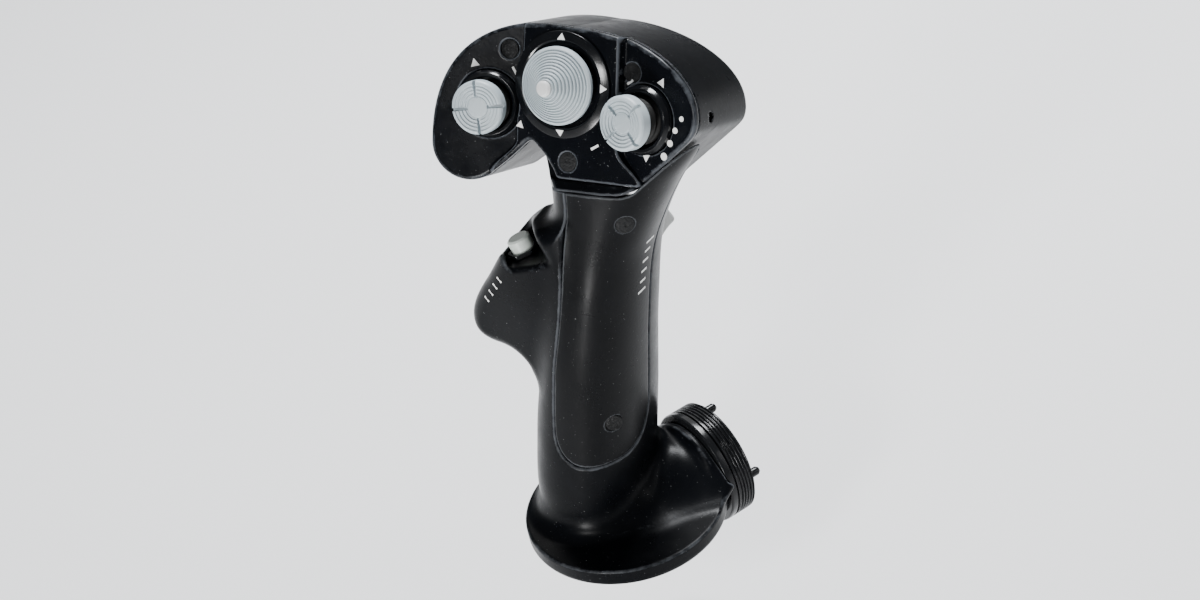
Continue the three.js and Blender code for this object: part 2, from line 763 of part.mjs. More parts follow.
function triggerLever() {
  const shape = new THREE.ExtrudeGeometry(triggerOutline(), {
    depth: TRIGGER_WIDTH - 2,
    bevelThickness: 1,
    bevelSize: 1,
    bevelOffset: -1,
    bevelSegments: 1,
    curveSegments: 6,
  });
  const lever = solid(shape.applyMatrix4(yzToXyz).translate(TRIGGER_X - TRIGGER_WIDTH / 2 + 1, 0, 0));
  const bore = alongX(rod(TRIGGER_PIN_RADIUS + GAP, -12, 12, 16));
  return cut(lever, solid(bore.translate(TRIGGER_X, TRIGGER_PIVOT.y, TRIGGER_PIVOT.z)));
}

// A coil spring about +Z between two heights.
function coil(radius, wire, low, high, turns) {
  const points = Array.from({ length: turns * 8 + 1 }, (_, i) => {
    const angle = (i / 8) * 2 * Math.PI;
    const z = low + wire + ((high - low - 2 * wire) * i) / (turns * 8);
    return new THREE.Vector3(radius * Math.cos(angle), radius * Math.sin(angle), z);
  });
  const section = Array.from({ length: 6 }, (_, i) => {
    const angle = (i / 6) * 2 * Math.PI;
    return new THREE.Vector2(wire * Math.cos(angle), wire * Math.sin(angle));
  });
  return new THREE.ExtrudeGeometry(new THREE.Shape(section), {
    steps: turns * 8,
    extrudePath: new THREE.CatmullRomCurve3(points),
  });
}

function triggerParts() {
  const { y, z } = TRIGGER_PIVOT;
  const contactZ = 92;
  piece(grip, "trigger_lever", triggerLever(), materials.trigger);
  const pin = alongX(rod(TRIGGER_PIN_RADIUS, -10.2, 10.2, 16));
  piece(grip, "trigger_pin", pin.translate(TRIGGER_X, y, z), materials.steel);
  const plunger = alongY(rod(1.4, 15.5, 30.9, 14));
  piece(grip, "trigger_plunger", plunger.translate(TRIGGER_X, 0, contactZ), materials.brass);
  const body = solid(block(TRIGGER_X - 4.5, TRIGGER_X + 4.5, 7, 21.6, 84, 99));
  const well = solid(alongY(rod(1.8, 11, 30, 14)).translate(TRIGGER_X, 0, contactZ));
  piece(grip, "trigger_microswitch", cut(body, well), materials.rubber);
  const spring = alongY(coil(3, 0.45, 22, 31.1, 4)).translate(TRIGGER_X, 0, contactZ);
  piece(grip, "trigger_spring", spring, materials.spring);
  const shelf = solid(block(TRIGGER_X - 4.5, TRIGGER_X + 4.5, 7, 25, 82.2, 83.7));
  const leg = solid(block(TRIGGER_X - 4.5, TRIGGER_X - 1.5, 27.2, 28.6, 72, 83.7));
  const tongue = solid(block(TRIGGER_X - 4.5, TRIGGER_X - 1.5, 24, 28.6, 82.2, 83.7));
  piece(grip, "microswitch_bracket", join(shelf, tongue, leg), materials.steel);
}

// ---------- release button ----------

function releaseButton() {
  const group = new THREE.Group();
  group.applyMatrix4(buttonFrame);
  grip.add(group);
  const cap = [
    [0, 1.4],
    [BUTTON_RADIUS, 1.4],
    [BUTTON_RADIUS, 5.6],
    [BUTTON_RADIUS - 0.6, 6.2],
    [0, 6.4],
  ];
  piece(group, "release_button_cap", turned(cap, 28), materials.button);
  piece(group, "release_button_plunger", turned(
    [
      [0, -6],
      [1.5, -6],
      [1.5, -1],
      [2.2, -1],
      [2.2, 1.1],
      [0, 1.1],
    ],
    16,
  ), materials.steel);
  const hexagon = new THREE.CylinderGeometry(BUTTON_NUT_RADIUS, BUTTON_NUT_RADIUS, 1.6, 6);
  const nut = solid(hexagon.rotateX(Math.PI / 2).translate(0, 0, 1.1));
  piece(group, "release_button_nut", cut(nut, solid(rod(BUTTON_RADIUS + GAP, -4, 8, 28))), materials.gloss);
  const body = solid(rod(4.2, -12, -0.4, 20));
  piece(group, "release_button_switch", cut(body, solid(rod(2.6, -10, 2, 16))), materials.rubber);
  piece(group, "release_button_spring", coil(2.05, 0.35, -9.8, -1.3, 4), materials.spring);
}

// ---------- screws and potting ----------

function screw(parent, name, frame, headLow, length) {
  const shape = turned(
    [
      [0, headLow - length],
      [SCREW_SHANK, headLow - length],
      [SCREW_SHANK, headLow],
      [SCREW_HEAD, headLow],
      [SCREW_HEAD, headLow + 0.7],
      [0, headLow + 0.7],
    ],
    14,
  );
  piece(parent, name, shape.applyMatrix4(frame), materials.steel);
}

const potting = (parent, name, frame, low, high) =>
  piece(parent, name, rod(SCREW_HEAD, low, high, 16).applyMatrix4(frame), materials.potting);

function fasteners() {
  faceScrews.forEach(({ x, v }, i) => {
    const frame = new THREE.Matrix4().makeTranslation(x, v, faceDepth(x));
    screw(face, "face_screw_" + (i + 1), frame, -1.2, 9);
    potting(face, "face_screw_potting_" + (i + 1), frame, -0.3, 0.1);
  });
  palmScrews.forEach((frame, i) => {
    screw(grip, "palm_screw_" + (i + 1), frame, -1, 8);
    potting(grip, "palm_screw_potting_" + (i + 1), frame, 0, 0.35);
  });
  const { x, v, w } = SET_SCREW;
  piece(face, "head_set_screw", alongX(rod(1.3, -2.4, 0, 6)).translate(x, v, w), materials.steel);
}

// ---------- mounting collar and connector ----------

function collarParts() {
  const pinAngles = [0, 1, 2, 3].map((i) => PIN_OFFSET + (i * Math.PI) / 2);
  const pinAt = (geometry, angle) =>
    alongY(geometry).translate(PIN_CIRCLE * Math.cos(angle), 0, PIN_CIRCLE * Math.sin(angle));
  const ring = solid(alongY(turned(
    [
      [COLLAR_BORE, 0],
      [COLLAR_BORE, 1 - COLLAR_LENGTH],
      [14.6, 1 - COLLAR_LENGTH],
      [14.6, -COLLAR_LENGTH],
      [COLLAR_RADIUS, -COLLAR_LENGTH],
      [COLLAR_RADIUS, -0.8],
      [COLLAR_RADIUS - 0.8, 0],
    ],
    30,
    true,
  )));
  const pinHoles = pinAngles.map((angle) => solid(pinAt(rod(PIN_RADIUS + 0.25, -3.3, 2, 10), angle)));
  piece(collar, "mount_collar", cut(ring, ...pinHoles), materials.collar);
  pinAngles.forEach((angle, i) => {
    piece(collar, "index_pin_" + (i + 1), pinAt(rod(PIN_RADIUS, -3, PIN_PROUD, 10), angle), materials.collar);
  });
  const base = solid(alongY(turned(
    [
      [0, -12],
      [13.6, -12],
      [13.6, 1.3 - COLLAR_LENGTH],
      [17, 1.3 - COLLAR_LENGTH],
      [17, 3.3 - COLLAR_LENGTH],
      [0, 3.3 - COLLAR_LENGTH],
    ],
    28,
  )));
  const contacts = [[0, 1], [5.5, 6], [10.8, 12]].flatMap(([radius, count]) =>
    Array.from({ length: count }, (_, i) => {
      const angle = (i / count) * 2 * Math.PI;
      const contact = alongY(rod(0.7, -8.5, -5.2, 5));
      return solid(contact.translate(radius * Math.cos(angle), 0, radius * Math.sin(angle)));
    }));
  piece(collar, "connector_insert", join(base, ...contacts), materials.insert);
  const retainer = tube(15.4, 17, 3.6 - COLLAR_LENGTH, 4.6 - COLLAR_LENGTH, 24);
  piece(collar, "connector_retaining_ring", alongY(retainer), materials.steel);
  const seal = new THREE.TorusGeometry(SEAL_RING, SEAL_CORD, 6, 26);
  piece(collar, "collar_seal", seal.rotateX(Math.PI / 2).translate(0, SEAL_Y, 0), materials.rubber);
}

// ---------- wiring ----------

function wiring() {
  const route = new THREE.CatmullRomCurve3(
    [
      [13, 33, 144],
      [13, 25, 130],
      [6, 18, 117],
      [-5, 13, 104],
      [-6, 11, 88],
      [-4.5, 9, 70],
      [-7, 7, 42],
      [-8.5, 5, 18],
      [-5.5, 4, 6.5],
      [2.5, 7, -2.2],
      [11.6, 21.7, -3.8],
    ].map(([x, y, z]) => new THREE.Vector3(x, y, z)),
  );
  const section = Array.from({ length: 8 }, (_, i) => {
    const angle = (i / 8) * 2 * Math.PI;
    return new THREE.Vector2(2.4 * Math.cos(angle), 2.4 * Math.sin(angle));
  });
  const harness = new THREE.ExtrudeGeometry(new THREE.Shape(section), { steps: 22, extrudePath: route });
  piece(grip, "wiring_harness", harness, materials.wire);
  piece(grip, "harness_tie", tube(2.9, 4.1, 54, 58, 16).translate(-5.75, 8, 0), materials.rubber);
}

piece(grip, "grip_body", gripBody(), materials.casing);
piece(grip, "palm_cover", palmCover(), materials.casing);
piece(face, "head_housing", headHousing(), materials.casing);
piece(face, "head_faceplate", headFaceplate(), materials.casing);
sideHat(hatPlaces[0]);
sideHat(hatPlaces[1]);
trimHat(hatPlaces[2]);
triggerParts();
releaseButton();
fasteners();
collarParts();
wiring();

export default joystick;
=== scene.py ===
"""The looks of a flight joystick grip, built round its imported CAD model.

The moulded shells are smooth fields (rounded unions and cuts of a few simple solids), meshed on a fine
grid. Turned pieces are revolved from filleted profiles. Lengths are millimetres until a mesh is made.
"""
import json
import math

import bpy
import numpy as np
from mathutils import Matrix, Vector, noise


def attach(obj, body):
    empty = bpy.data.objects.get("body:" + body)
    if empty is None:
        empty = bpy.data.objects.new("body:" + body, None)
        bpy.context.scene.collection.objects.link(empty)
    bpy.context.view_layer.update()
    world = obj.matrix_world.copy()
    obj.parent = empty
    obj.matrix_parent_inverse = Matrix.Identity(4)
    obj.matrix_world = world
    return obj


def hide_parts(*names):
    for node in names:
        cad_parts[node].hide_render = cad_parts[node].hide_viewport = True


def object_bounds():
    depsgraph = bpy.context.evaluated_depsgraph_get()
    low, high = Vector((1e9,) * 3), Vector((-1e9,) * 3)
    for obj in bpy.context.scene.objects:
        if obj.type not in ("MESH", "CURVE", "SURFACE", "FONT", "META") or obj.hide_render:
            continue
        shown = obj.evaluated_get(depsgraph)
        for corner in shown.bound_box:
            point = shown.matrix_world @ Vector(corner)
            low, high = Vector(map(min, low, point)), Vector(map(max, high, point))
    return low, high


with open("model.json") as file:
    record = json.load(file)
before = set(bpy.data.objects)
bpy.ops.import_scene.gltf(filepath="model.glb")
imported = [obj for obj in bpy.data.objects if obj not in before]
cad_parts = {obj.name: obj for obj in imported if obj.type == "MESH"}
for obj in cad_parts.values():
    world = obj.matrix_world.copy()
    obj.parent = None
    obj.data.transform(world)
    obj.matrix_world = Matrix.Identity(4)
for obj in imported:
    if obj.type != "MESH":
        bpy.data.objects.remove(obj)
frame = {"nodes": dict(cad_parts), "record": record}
cad_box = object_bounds()

# ---------- driving dimensions in millimetres: the CAD model's, with the looks' own fillets ----------

MM = 0.001
GAP = 0.3
REST_CENTRE = (-19.3, -36.1, 3.8)
REST_RADIUS = 36.2
REST_THICKNESS = 7.6
REST_SHIFT = (-0.9, -0.4)
WALL = 2.6
GRIP_WALL = 4.4

# handle sections: height, centre x, centre y, left half, right half, depth half
HANDLE = [
    (-3, -11.6, 3.8, 21, 19, 25),
    (15, -10.7, 5, 21.2, 19, 25),
    (40, -6.5, 8, 21.6, 18.5, 24.5),
    (69, -2, 10.5, 18.5, 18, 24),
    (95, 3.5, 14, 17.5, 16.6, 23),
    (106, 5.6, 16.2, 17.5, 16.9, 22.7),
    (118, 8.1, 18, 17.5, 20, 22.5),
    (128, 9, 19.2, 17.5, 24.8, 22.5),
    (135, 9, 20, 17.5, 29.6, 22.5),
    (141, 9, 20, 17.5, 35, 22.5),
    (146, 9, 20, 17, 37, 22),
]
HANDLE_ROUNDNESS = 2.2

LOBE_MIDDLE_Y = 6.0
LOBE_TIP_HALF = 8.2
LOBE_ROOT_HALF = 12.5
LOBE_EDGE = 5.5

# how widely the outside's solids run into each other, and the edges' rounding
LOBE_BLEND = 4.5
FLANGE_BLEND = 4.0
ELBOW_BLEND = 15.5
FOOT_BLEND = 7.5
LEAST_BLEND = 0.5
SEAM_EDGE = 0.9
JOINT_EDGE = 0.7

FACE_ORIGIN = (1.23, 10.0, 165.6)
FACE_LEAN = math.radians(65.8)
HEAD_BACK = -41.5
HEAD_BACK_ROUND = 3.0
CENTRE_DEPTH = -5.0
WING_DEPTH = -7.9
WING_SLOPE = math.tan(math.radians(11.4))
LEFT_STEP = -17.4
RIGHT_STEP = 20.0
CREASE_V = -30.5
CREASE_LEFT = -12.0
NECK_V = -34.0
APRON_SLOPE = 0.83
JOINT_CORNER = (28.3, -29.8)
JOINT_RISE = math.atan2(13.5, 14.7)

LEFT_HAT = (-27.9, -8.5)
RIGHT_HAT = (28.7, -8.8)
HAT_BASE = -6.0
HAT_LEAN = math.radians(11)
HAT_KNOB_RADIUS = 8.7
HAT_BEZEL_RADIUS = 11.0
TRIM_RADIUS = 12.5
TRIM_HEIGHT = 8.56
BOSS_INNER = 13.6
BOSS_OUTER = 17.2
BOSS_SLOPE = math.radians(15)
BOSS_MIDDLE = -3.49  # the ring's depth halfway across
CONE_HEIGHT = 6.75

TRIGGER_X = 6.0
TRIGGER_WIDTH = 13.0
TRIGGER_PIVOT = (30.0, 108.0)
TRIGGER_SLOT = (85.0, 112.5)

BUTTON_BASE = (-21.4, 5.0, 102.0)
BUTTON_LEAN = math.radians(18)
BUTTON_RADIUS = 4.1
BUTTON_NUT_RADIUS = 6.0
POCKET_RADIUS = 6.6
POCKET_TURN = math.radians(37)  # its open side, turned from -Y towards +X, more than in the CAD model

COLLAR_YAW = math.radians(28)
COLLAR_RADIUS = 21.75
COLLAR_BORE = 17.3
COLLAR_BACK = 14.6  # the opening in its back wall
COLLAR_LENGTH = 11.0
ELBOW_TIP = 11.0  # the elbow's radius inside the handle, at its neck, and at its flange
ELBOW_NECK = 16.0
ELBOW_FLANGE = 18.9
ELBOW_WALL = 4.5
ELBOW_START = -34.0
FLANGE_BACK = -13.6
SEAL_Y = -12.2
SEAL_RING = 16.8
CONNECTOR_ROOM = 14.0
PIN_CIRCLE = 19.5
PIN_RADIUS = 1.65
PIN_PROUD = 3.5
PIN_OFFSET = math.radians(6)
THREAD_PITCH = 1.25
THREAD_DEPTH = 0.62

PALM_MIDDLE = math.radians(38)
PALM_THICKNESS = 2.2
PALM_BOTTOM = 28.5
# height, and half the palm cover's sweep in degrees
PALM_EDGE = [(20, 48), (31, 49), (37, 52), (48.5, 54), (66, 54), (80, 53), (96, 53), (115, 54), (129, 52),
             (140, 50)]

FACE_SCREWS = [(-21.2, 9.5), (23.5, 5.4), (2.1, -24.7)]
SET_SCREW = (47.4, -7.0, -13.0)
SCREW_HEAD = 2.9
SCREW_SHANK = 1.5
PAINT_PROUD = 0.07
PAINT_SUNK = 0.12

CELL = 0.45  # grid step of the moulded shells
TRIGGER_CELL = 0.4

# ---------- frames ----------


def turning(axis):
    return lambda angle: np.array(Matrix.Rotation(angle, 4, axis))


turn_x, turn_y, turn_z = (turning(axis) for axis in "XYZ")


def move(x, y, z):
    return np.array(Matrix.Translation((x, y, z)))


GRIP = move(*REST_CENTRE)
FACE = GRIP @ move(*FACE_ORIGIN) @ turn_x(FACE_LEAN)
# the collar's frame with +Z along its axis, out of the grip
COLLAR = turn_z(-COLLAR_YAW) @ turn_x(-math.pi / 2)
BUTTON = GRIP @ move(*BUTTON_BASE) @ turn_y(-BUTTON_LEAN)
HAT_FRAMES = {
    "left_hat": FACE @ move(*LEFT_HAT, HAT_BASE) @ turn_y(HAT_LEAN),
    "right_hat": FACE @ move(*RIGHT_HAT, HAT_BASE) @ turn_y(-HAT_LEAN),
    "trim_hat": FACE,
}


def carried(matrix, p):
    """Points moved by a 4 x 4 matrix."""
    return p @ matrix[:3, :3].T.astype(p.dtype) + matrix[:3, 3].astype(p.dtype)


def between(origin, target):
    """The matrix that takes a point's coordinates in one frame to another."""
    return np.linalg.inv(target) @ origin


FACE_TO_GRIP = between(FACE, GRIP)
GRIP_TO_FACE = between(GRIP, FACE)
GRIP_TO_COLLAR = between(GRIP, COLLAR)
GRIP_TO_BUTTON = between(GRIP, BUTTON)

# ---------- fields: negative inside, about one per millimetre ----------


def smooth_min(a, b, k):
    h = np.clip(0.5 + 0.5 * (b - a) / k, 0, 1)
    return b + (a - b) * h - k * h * (1 - h)


def smooth_max(a, b, k):
    return -smooth_min(-a, -b, k)


def ramp(low, high, x):
    """0 before low, 1 after high, smooth between."""
    t = np.clip((x - low) / (high - low), 0, 1)
    return t * t * (3 - 2 * t)


def rounded_pair(a, b, radius):
    """Both a and b, with their outer edge rounded to a radius."""
    a = a + radius
    b = b + radius
    return np.minimum(np.maximum(a, b), 0) + np.hypot(np.maximum(a, 0), np.maximum(b, 0)) - radius


def cylinder(x, y, z, radius, low, high, edge=0.3):
    """A round bar about the z given, between two heights."""
    return rounded_pair(np.hypot(x, y) - radius, np.abs(z - (low + high) / 2) - (high - low) / 2, edge)


def box_field(x, y, z, low, high, edge=0.5):
    sides = [np.abs(c - (a + b) / 2) - (b - a) / 2 for c, a, b in zip((x, y, z), low, high)]
    return rounded_pair(rounded_pair(sides[0], sides[1], edge), sides[2], edge)


def smoothed_table(rows, spread=4.0, step=0.25):
    """A height table's columns as smooth curves, on a fine even grid."""
    rows = np.array(rows, float)
    margin = 4 * spread
    z = np.arange(rows[0, 0] - margin, rows[-1, 0] + margin, step)
    kernel = np.exp(-0.5 * (np.arange(-margin, margin + step, step) / spread) ** 2)
    kernel /= kernel.sum()
    columns = []
    for i in range(1, rows.shape[1]):
        first = (rows[1, i] - rows[0, i]) / (rows[1, 0] - rows[0, 0])
        last = (rows[-1, i] - rows[-2, i]) / (rows[-1, 0] - rows[-2, 0])
        line = np.interp(z, rows[:, 0], rows[:, i])
        line += np.minimum(z - rows[0, 0], 0) * first + np.maximum(z - rows[-1, 0], 0) * last
        pad = len(kernel) // 2
        line = np.pad(line, pad, mode="reflect", reflect_type="odd")
        columns.append(np.convolve(line, kernel, "valid")[: len(z)])
    return z, columns


HANDLE_Z, HANDLE_COLUMNS = smoothed_table(HANDLE)
PALM_Z, (PALM_HALF,) = smoothed_table(PALM_EDGE, spread=3.0)


def handle_at(z):
    return [np.interp(z, HANDLE_Z, column).astype(np.float32) for column in HANDLE_COLUMNS]


def handle_field(p):
    """The handle: a leaning column of rounded sections."""
    cx, cy, left, right, depth = handle_at(p[:, 2])
    dx = p[:, 0] - cx
    dy = p[:, 1] - cy
    across = np.where(dx > 0, right, left)
    n = HANDLE_ROUNDNESS
    u = np.abs(dx) / across + 1e-6
    v = np.abs(dy) / depth + 1e-6
    reach = (u**n + v**n) ** (1 / n)
    slope = reach ** (1 - n) * np.hypot(u ** (n - 1) / across, v ** (n - 1) / depth)
    return (reach - 1) / slope


class Outline:
    """The distance to a closed outline in a plane, sampled on a grid and read back smoothly."""

    STEP = 0.5

    def __init__(self, points):
        points = np.array(points, float)
        self.low = points.min(0) - 16
        shape = np.ceil((points.max(0) + 16 - self.low) / self.STEP).astype(int) + 1
        index = np.stack(np.meshgrid(*(np.arange(n) for n in shape), indexing="ij"), -1)
        flat = (index * self.STEP + self.low).reshape(-1, 2)
        near = np.full(len(flat), 1e9)
        inside = np.zeros(len(flat), bool)
        for a, b in zip(points, np.roll(points, -1, 0)):
            edge = b - a
            rel = flat - a
            t = np.clip(rel @ edge / max(edge @ edge, 1e-12), 0, 1)
            near = np.minimum(near, ((rel - t[:, None] * edge) ** 2).sum(1))
            spans = (a[1] > flat[:, 1]) != (b[1] > flat[:, 1])
            with np.errstate(divide="ignore", invalid="ignore"):
                cross = a[0] + (flat[:, 1] - a[1]) * (edge[0] / edge[1] if edge[1] else 0)
            inside ^= spans & (flat[:, 0] < cross)
        self.grid = (np.sqrt(near) * np.where(inside, -1, 1)).reshape(shape).astype(np.float32)

    def __call__(self, x, y):
        """The distance at points, by cubic B-splines between the samples."""
        grid = self.grid
        s = np.clip((x - self.low[0]) / self.STEP, 1, grid.shape[0] - 3.001).astype(np.float32)
        t = np.clip((y - self.low[1]) / self.STEP, 1, grid.shape[1] - 3.001).astype(np.float32)
        i = s.astype(int)
        j = t.astype(int)
        weights = [self._weights(s - i), self._weights(t - j)]
        total = np.zeros(len(i), np.float32)
        for a in range(4):
            row = sum(weights[1][b] * grid[i + a - 1, j + b - 1] for b in range(4))
            total += weights[0][a] * row
        return total

    @staticmethod
    def _weights(f):
        """Cubic B-spline weights of the four samples round a point."""
        g = 1 - f
        return g**3 / 6, (3 * f**3 - 6 * f**2 + 4) / 6, (3 * g**3 - 6 * g**2 + 4) / 6, f**3 / 6


def bezier(a, b, c, d, count=28):
    """Points on a cubic from a to d, without the last one."""
    t = np.linspace(0, 1, count, endpoint=False)[:, None]
    a, b, c, d = (np.array(p, float) for p in (a, b, c, d))
    return (1 - t) ** 3 * a + 3 * (1 - t) ** 2 * t * b + 3 * (1 - t) * t**2 * c + t**3 * d


def arc(centre, radius, start, end, count=40):
    a = np.radians(np.linspace(start, end, count, endpoint=False))
    return np.stack((centre[0] + radius * np.cos(a), centre[1] + radius * np.sin(a)), 1)


def head_points():
    """The head's outline in the face plane."""
    lobe = (-35.4, -22)
    r = 12.4
    return np.concatenate((
        bezier((-47.8, -22), (-47.8, 8.5), (-29, 21.5), (2, 18.3), 60),
        bezier((2, 18.3), (24, 18.3), (47, 8), (48.3, -6), 60),
        bezier((48.3, -6), (48.9, -10.5), (46.5, -13.2), (43, -16.3)),
        [(43, -16.3), (28.3, -29.8), (23.5, NECK_V - 3), (-1, NECK_V - 3)],
        bezier((-1, NECK_V + 0.8), (-2.4, -29), (-5, -24.4), (-9.6, -20.6)),
        bezier((-9.6, -20.6), (-11, -18.9), (-12.2, -18.8), (-14, -20.2)),
        bezier((-14, -20.2), (-18, -23.9), (-22, -27.6), (-27.4, -31.5), 12),
        arc(lobe, r, -50, -180),
    ))


def lobe_points():
    """The thumb lobe's outline in the XZ plane."""
    return np.concatenate((
        [(2, 121), (-15.5, 115.6)],
        bezier((-15.5, 115.6), (-26, 109), (-30.5, 99.6), (-38.3, 90)),
        bezier((-38.3, 90), (-42.5, 84.5), (-46.8, 79), (-46.9, 73)),
        bezier((-46.9, 73), (-46.9, 67.5), (-42.5, 65), (-36.5, 64.8)),
        bezier((-36.5, 64.8), (-31, 64.6), (-27, 62.5), (-25, 56.5)),
        [(-25, 56.5), (-12, 40), (2, 40)],
    ))


def trigger_points():
    """The trigger's side view: finger surface, tip and root."""
    y, z = TRIGGER_PIVOT
    return np.concatenate((
        arc((y, z), 3.6, 180, 60, 16),
        bezier((y + 1.8, z + 3.1), (38, 108.4), (44.5, 100.5), (49, 92.2)),
        bezier((49, 92.2), (49.6, 90.8), (48.6, 89.6), (47, 89.8)),
        bezier((47, 89.8), (43, 90.6), (37, 90.4), (31.5, 88)),
        [(31.5, 88), (31.5, 100)],
        bezier((31.5, 100), (29.4, 101.8), (27.6, 104.6), (y - 3.6, z)),
    ))


HEAD_OUTLINE = Outline(head_points())
LOBE_OUTLINE = Outline(lobe_points())


def lobe_field(p):
    """The thumb lobe, thinner towards its tip."""
    half = LOBE_TIP_HALF + (LOBE_ROOT_HALF - LOBE_TIP_HALF) * ramp(-50, -12, p[:, 0])
    return rounded_pair(LOBE_OUTLINE(p[:, 0], p[:, 2]), np.abs(p[:, 1] - LOBE_MIDDLE_Y) - half, LOBE_EDGE)


def elbow_field(q, inset, mouth):
    """A round-ended bar along the collar's axis, a little wider towards its mouth."""
    behind = np.minimum(q[:, 2] - ELBOW_START, 0)
    radius = ELBOW_TIP - inset + (ELBOW_NECK - ELBOW_TIP) * ramp(ELBOW_START - 2, -18, q[:, 2])
    side = np.sqrt(q[:, 0] ** 2 + q[:, 1] ** 2 + behind**2) - radius
    return smooth_max(0.95 * side, q[:, 2] - mouth, 0.8)


def rest_field(p):
    """The hand rest disc, with a gentle crown and round edges."""
    radial = np.hypot(p[:, 0] - REST_SHIFT[0], p[:, 1] - REST_SHIFT[1])
    crown = 0.5 * (radial / REST_RADIUS) ** 2
    top = rounded_pair(radial - REST_RADIUS, p[:, 2] + crown, 0.9)
    return rounded_pair(top, -p[:, 2] - REST_THICKNESS, 2.6)


def grip_outside(p):
    q = carried(GRIP_TO_COLLAR, p)
    z = p[:, 2]
    handle = np.maximum(handle_field(p), -3 - z)
    column = smooth_min(handle, lobe_field(p), LOBE_BLEND)
    above = ramp(-5, 1, z)
    flange = cylinder(*q.T, ELBOW_FLANGE, FLANGE_BACK, 1 - COLLAR_LENGTH, 0.7)
    elbow = smooth_min(elbow_field(q, 0, 1 - COLLAR_LENGTH), flange, FLANGE_BLEND)
    base = smooth_min(rest_field(p), elbow, LEAST_BLEND + ELBOW_BLEND * above)
    return smooth_min(column, base, LEAST_BLEND + FOOT_BLEND * above)


def pocket_field(b):
    """The release button's pocket, round behind it and open towards the pilot; b is in its frame."""
    ahead = b[:, 1] * math.cos(POCKET_TURN) - b[:, 0] * math.sin(POCKET_TURN)
    across = b[:, 0] * math.cos(POCKET_TURN) + b[:, 1] * math.sin(POCKET_TURN)
    return rounded_pair(np.hypot(across, np.maximum(ahead, 0)) - POCKET_RADIUS, -b[:, 2], 1.6)


def palm_seam(p):
    """The distance inside (negative) the palm cover's edge, measured round the handle."""
    cx, cy = handle_at(p[:, 2])[:2]
    angle = np.arctan2(p[:, 0] - cx, cy - p[:, 1]) - PALM_MIDDLE
    half = np.radians(np.interp(p[:, 2], PALM_Z, PALM_HALF))
    around = np.abs(np.arctan2(np.sin(angle), np.cos(angle))) - half
    side = around * np.hypot(p[:, 0] - cx, p[:, 1] - cy)
    return smooth_max(side, PALM_BOTTOM - p[:, 2], 14.0)


def joint_field(q):
    """Negative below the joint between head and handle; q is in the face's frame."""
    x, v = JOINT_CORNER
    slope = -(q[:, 0] - x) * math.sin(JOINT_RISE) + (q[:, 1] - v) * math.cos(JOINT_RISE)
    return smooth_min(q[:, 1] - NECK_V, slope, 2.5)


def joint_gap(q):
    """Half the joint's gap: close at the front left, open under the head's right side."""
    return 0.12 + 0.4 * ramp(15, 20, q[:, 0])


def palm_screw_frame(height):
    """A frame on the handle's surface along the palm cover's middle, with +Z pointing out."""
    cx, cy, _, right, depth = (float(np.interp(height, HANDLE_Z, c)) for c in HANDLE_COLUMNS)
    out = np.array((math.sin(PALM_MIDDLE), -math.cos(PALM_MIDDLE), 0))
    n = HANDLE_ROUNDNESS
    reach = ((abs(out[0]) / right) ** n + (abs(out[1]) / depth) ** n) ** (-1 / n)
    up = np.array((0, 0, 1.0))
    matrix = np.eye(4)
    matrix[:3, 0] = np.cross(up, out)
    matrix[:3, 1] = up
    matrix[:3, 2] = out
    matrix[:3, 3] = np.array((cx, cy, height)) + reach * out
    return matrix


PALM_SCREWS = [palm_screw_frame(44.6), palm_screw_frame(122)]


def palm_screw_holes(p):
    holes = []
    for matrix in PALM_SCREWS:
        q = carried(np.linalg.inv(matrix), p)
        holes.append(cylinder(*q.T, SCREW_HEAD + GAP, -1.1, 9))
        holes.append(cylinder(*q.T, SCREW_SHANK + GAP, -12, 9))
    return np.minimum.reduce(holes)


def palm_cover_field(p):
    outside = grip_outside(p)
    sheet = smooth_max(outside, palm_seam(p) + GAP / 2, SEAM_EDGE)
    sheet = np.maximum(sheet, -(outside + PALM_THICKNESS))
    sheet = smooth_max(sheet, joint_field(carried(GRIP_TO_FACE, p)) + 0.15, JOINT_EDGE)
    return smooth_max(sheet, -palm_screw_holes(p), 0.4)


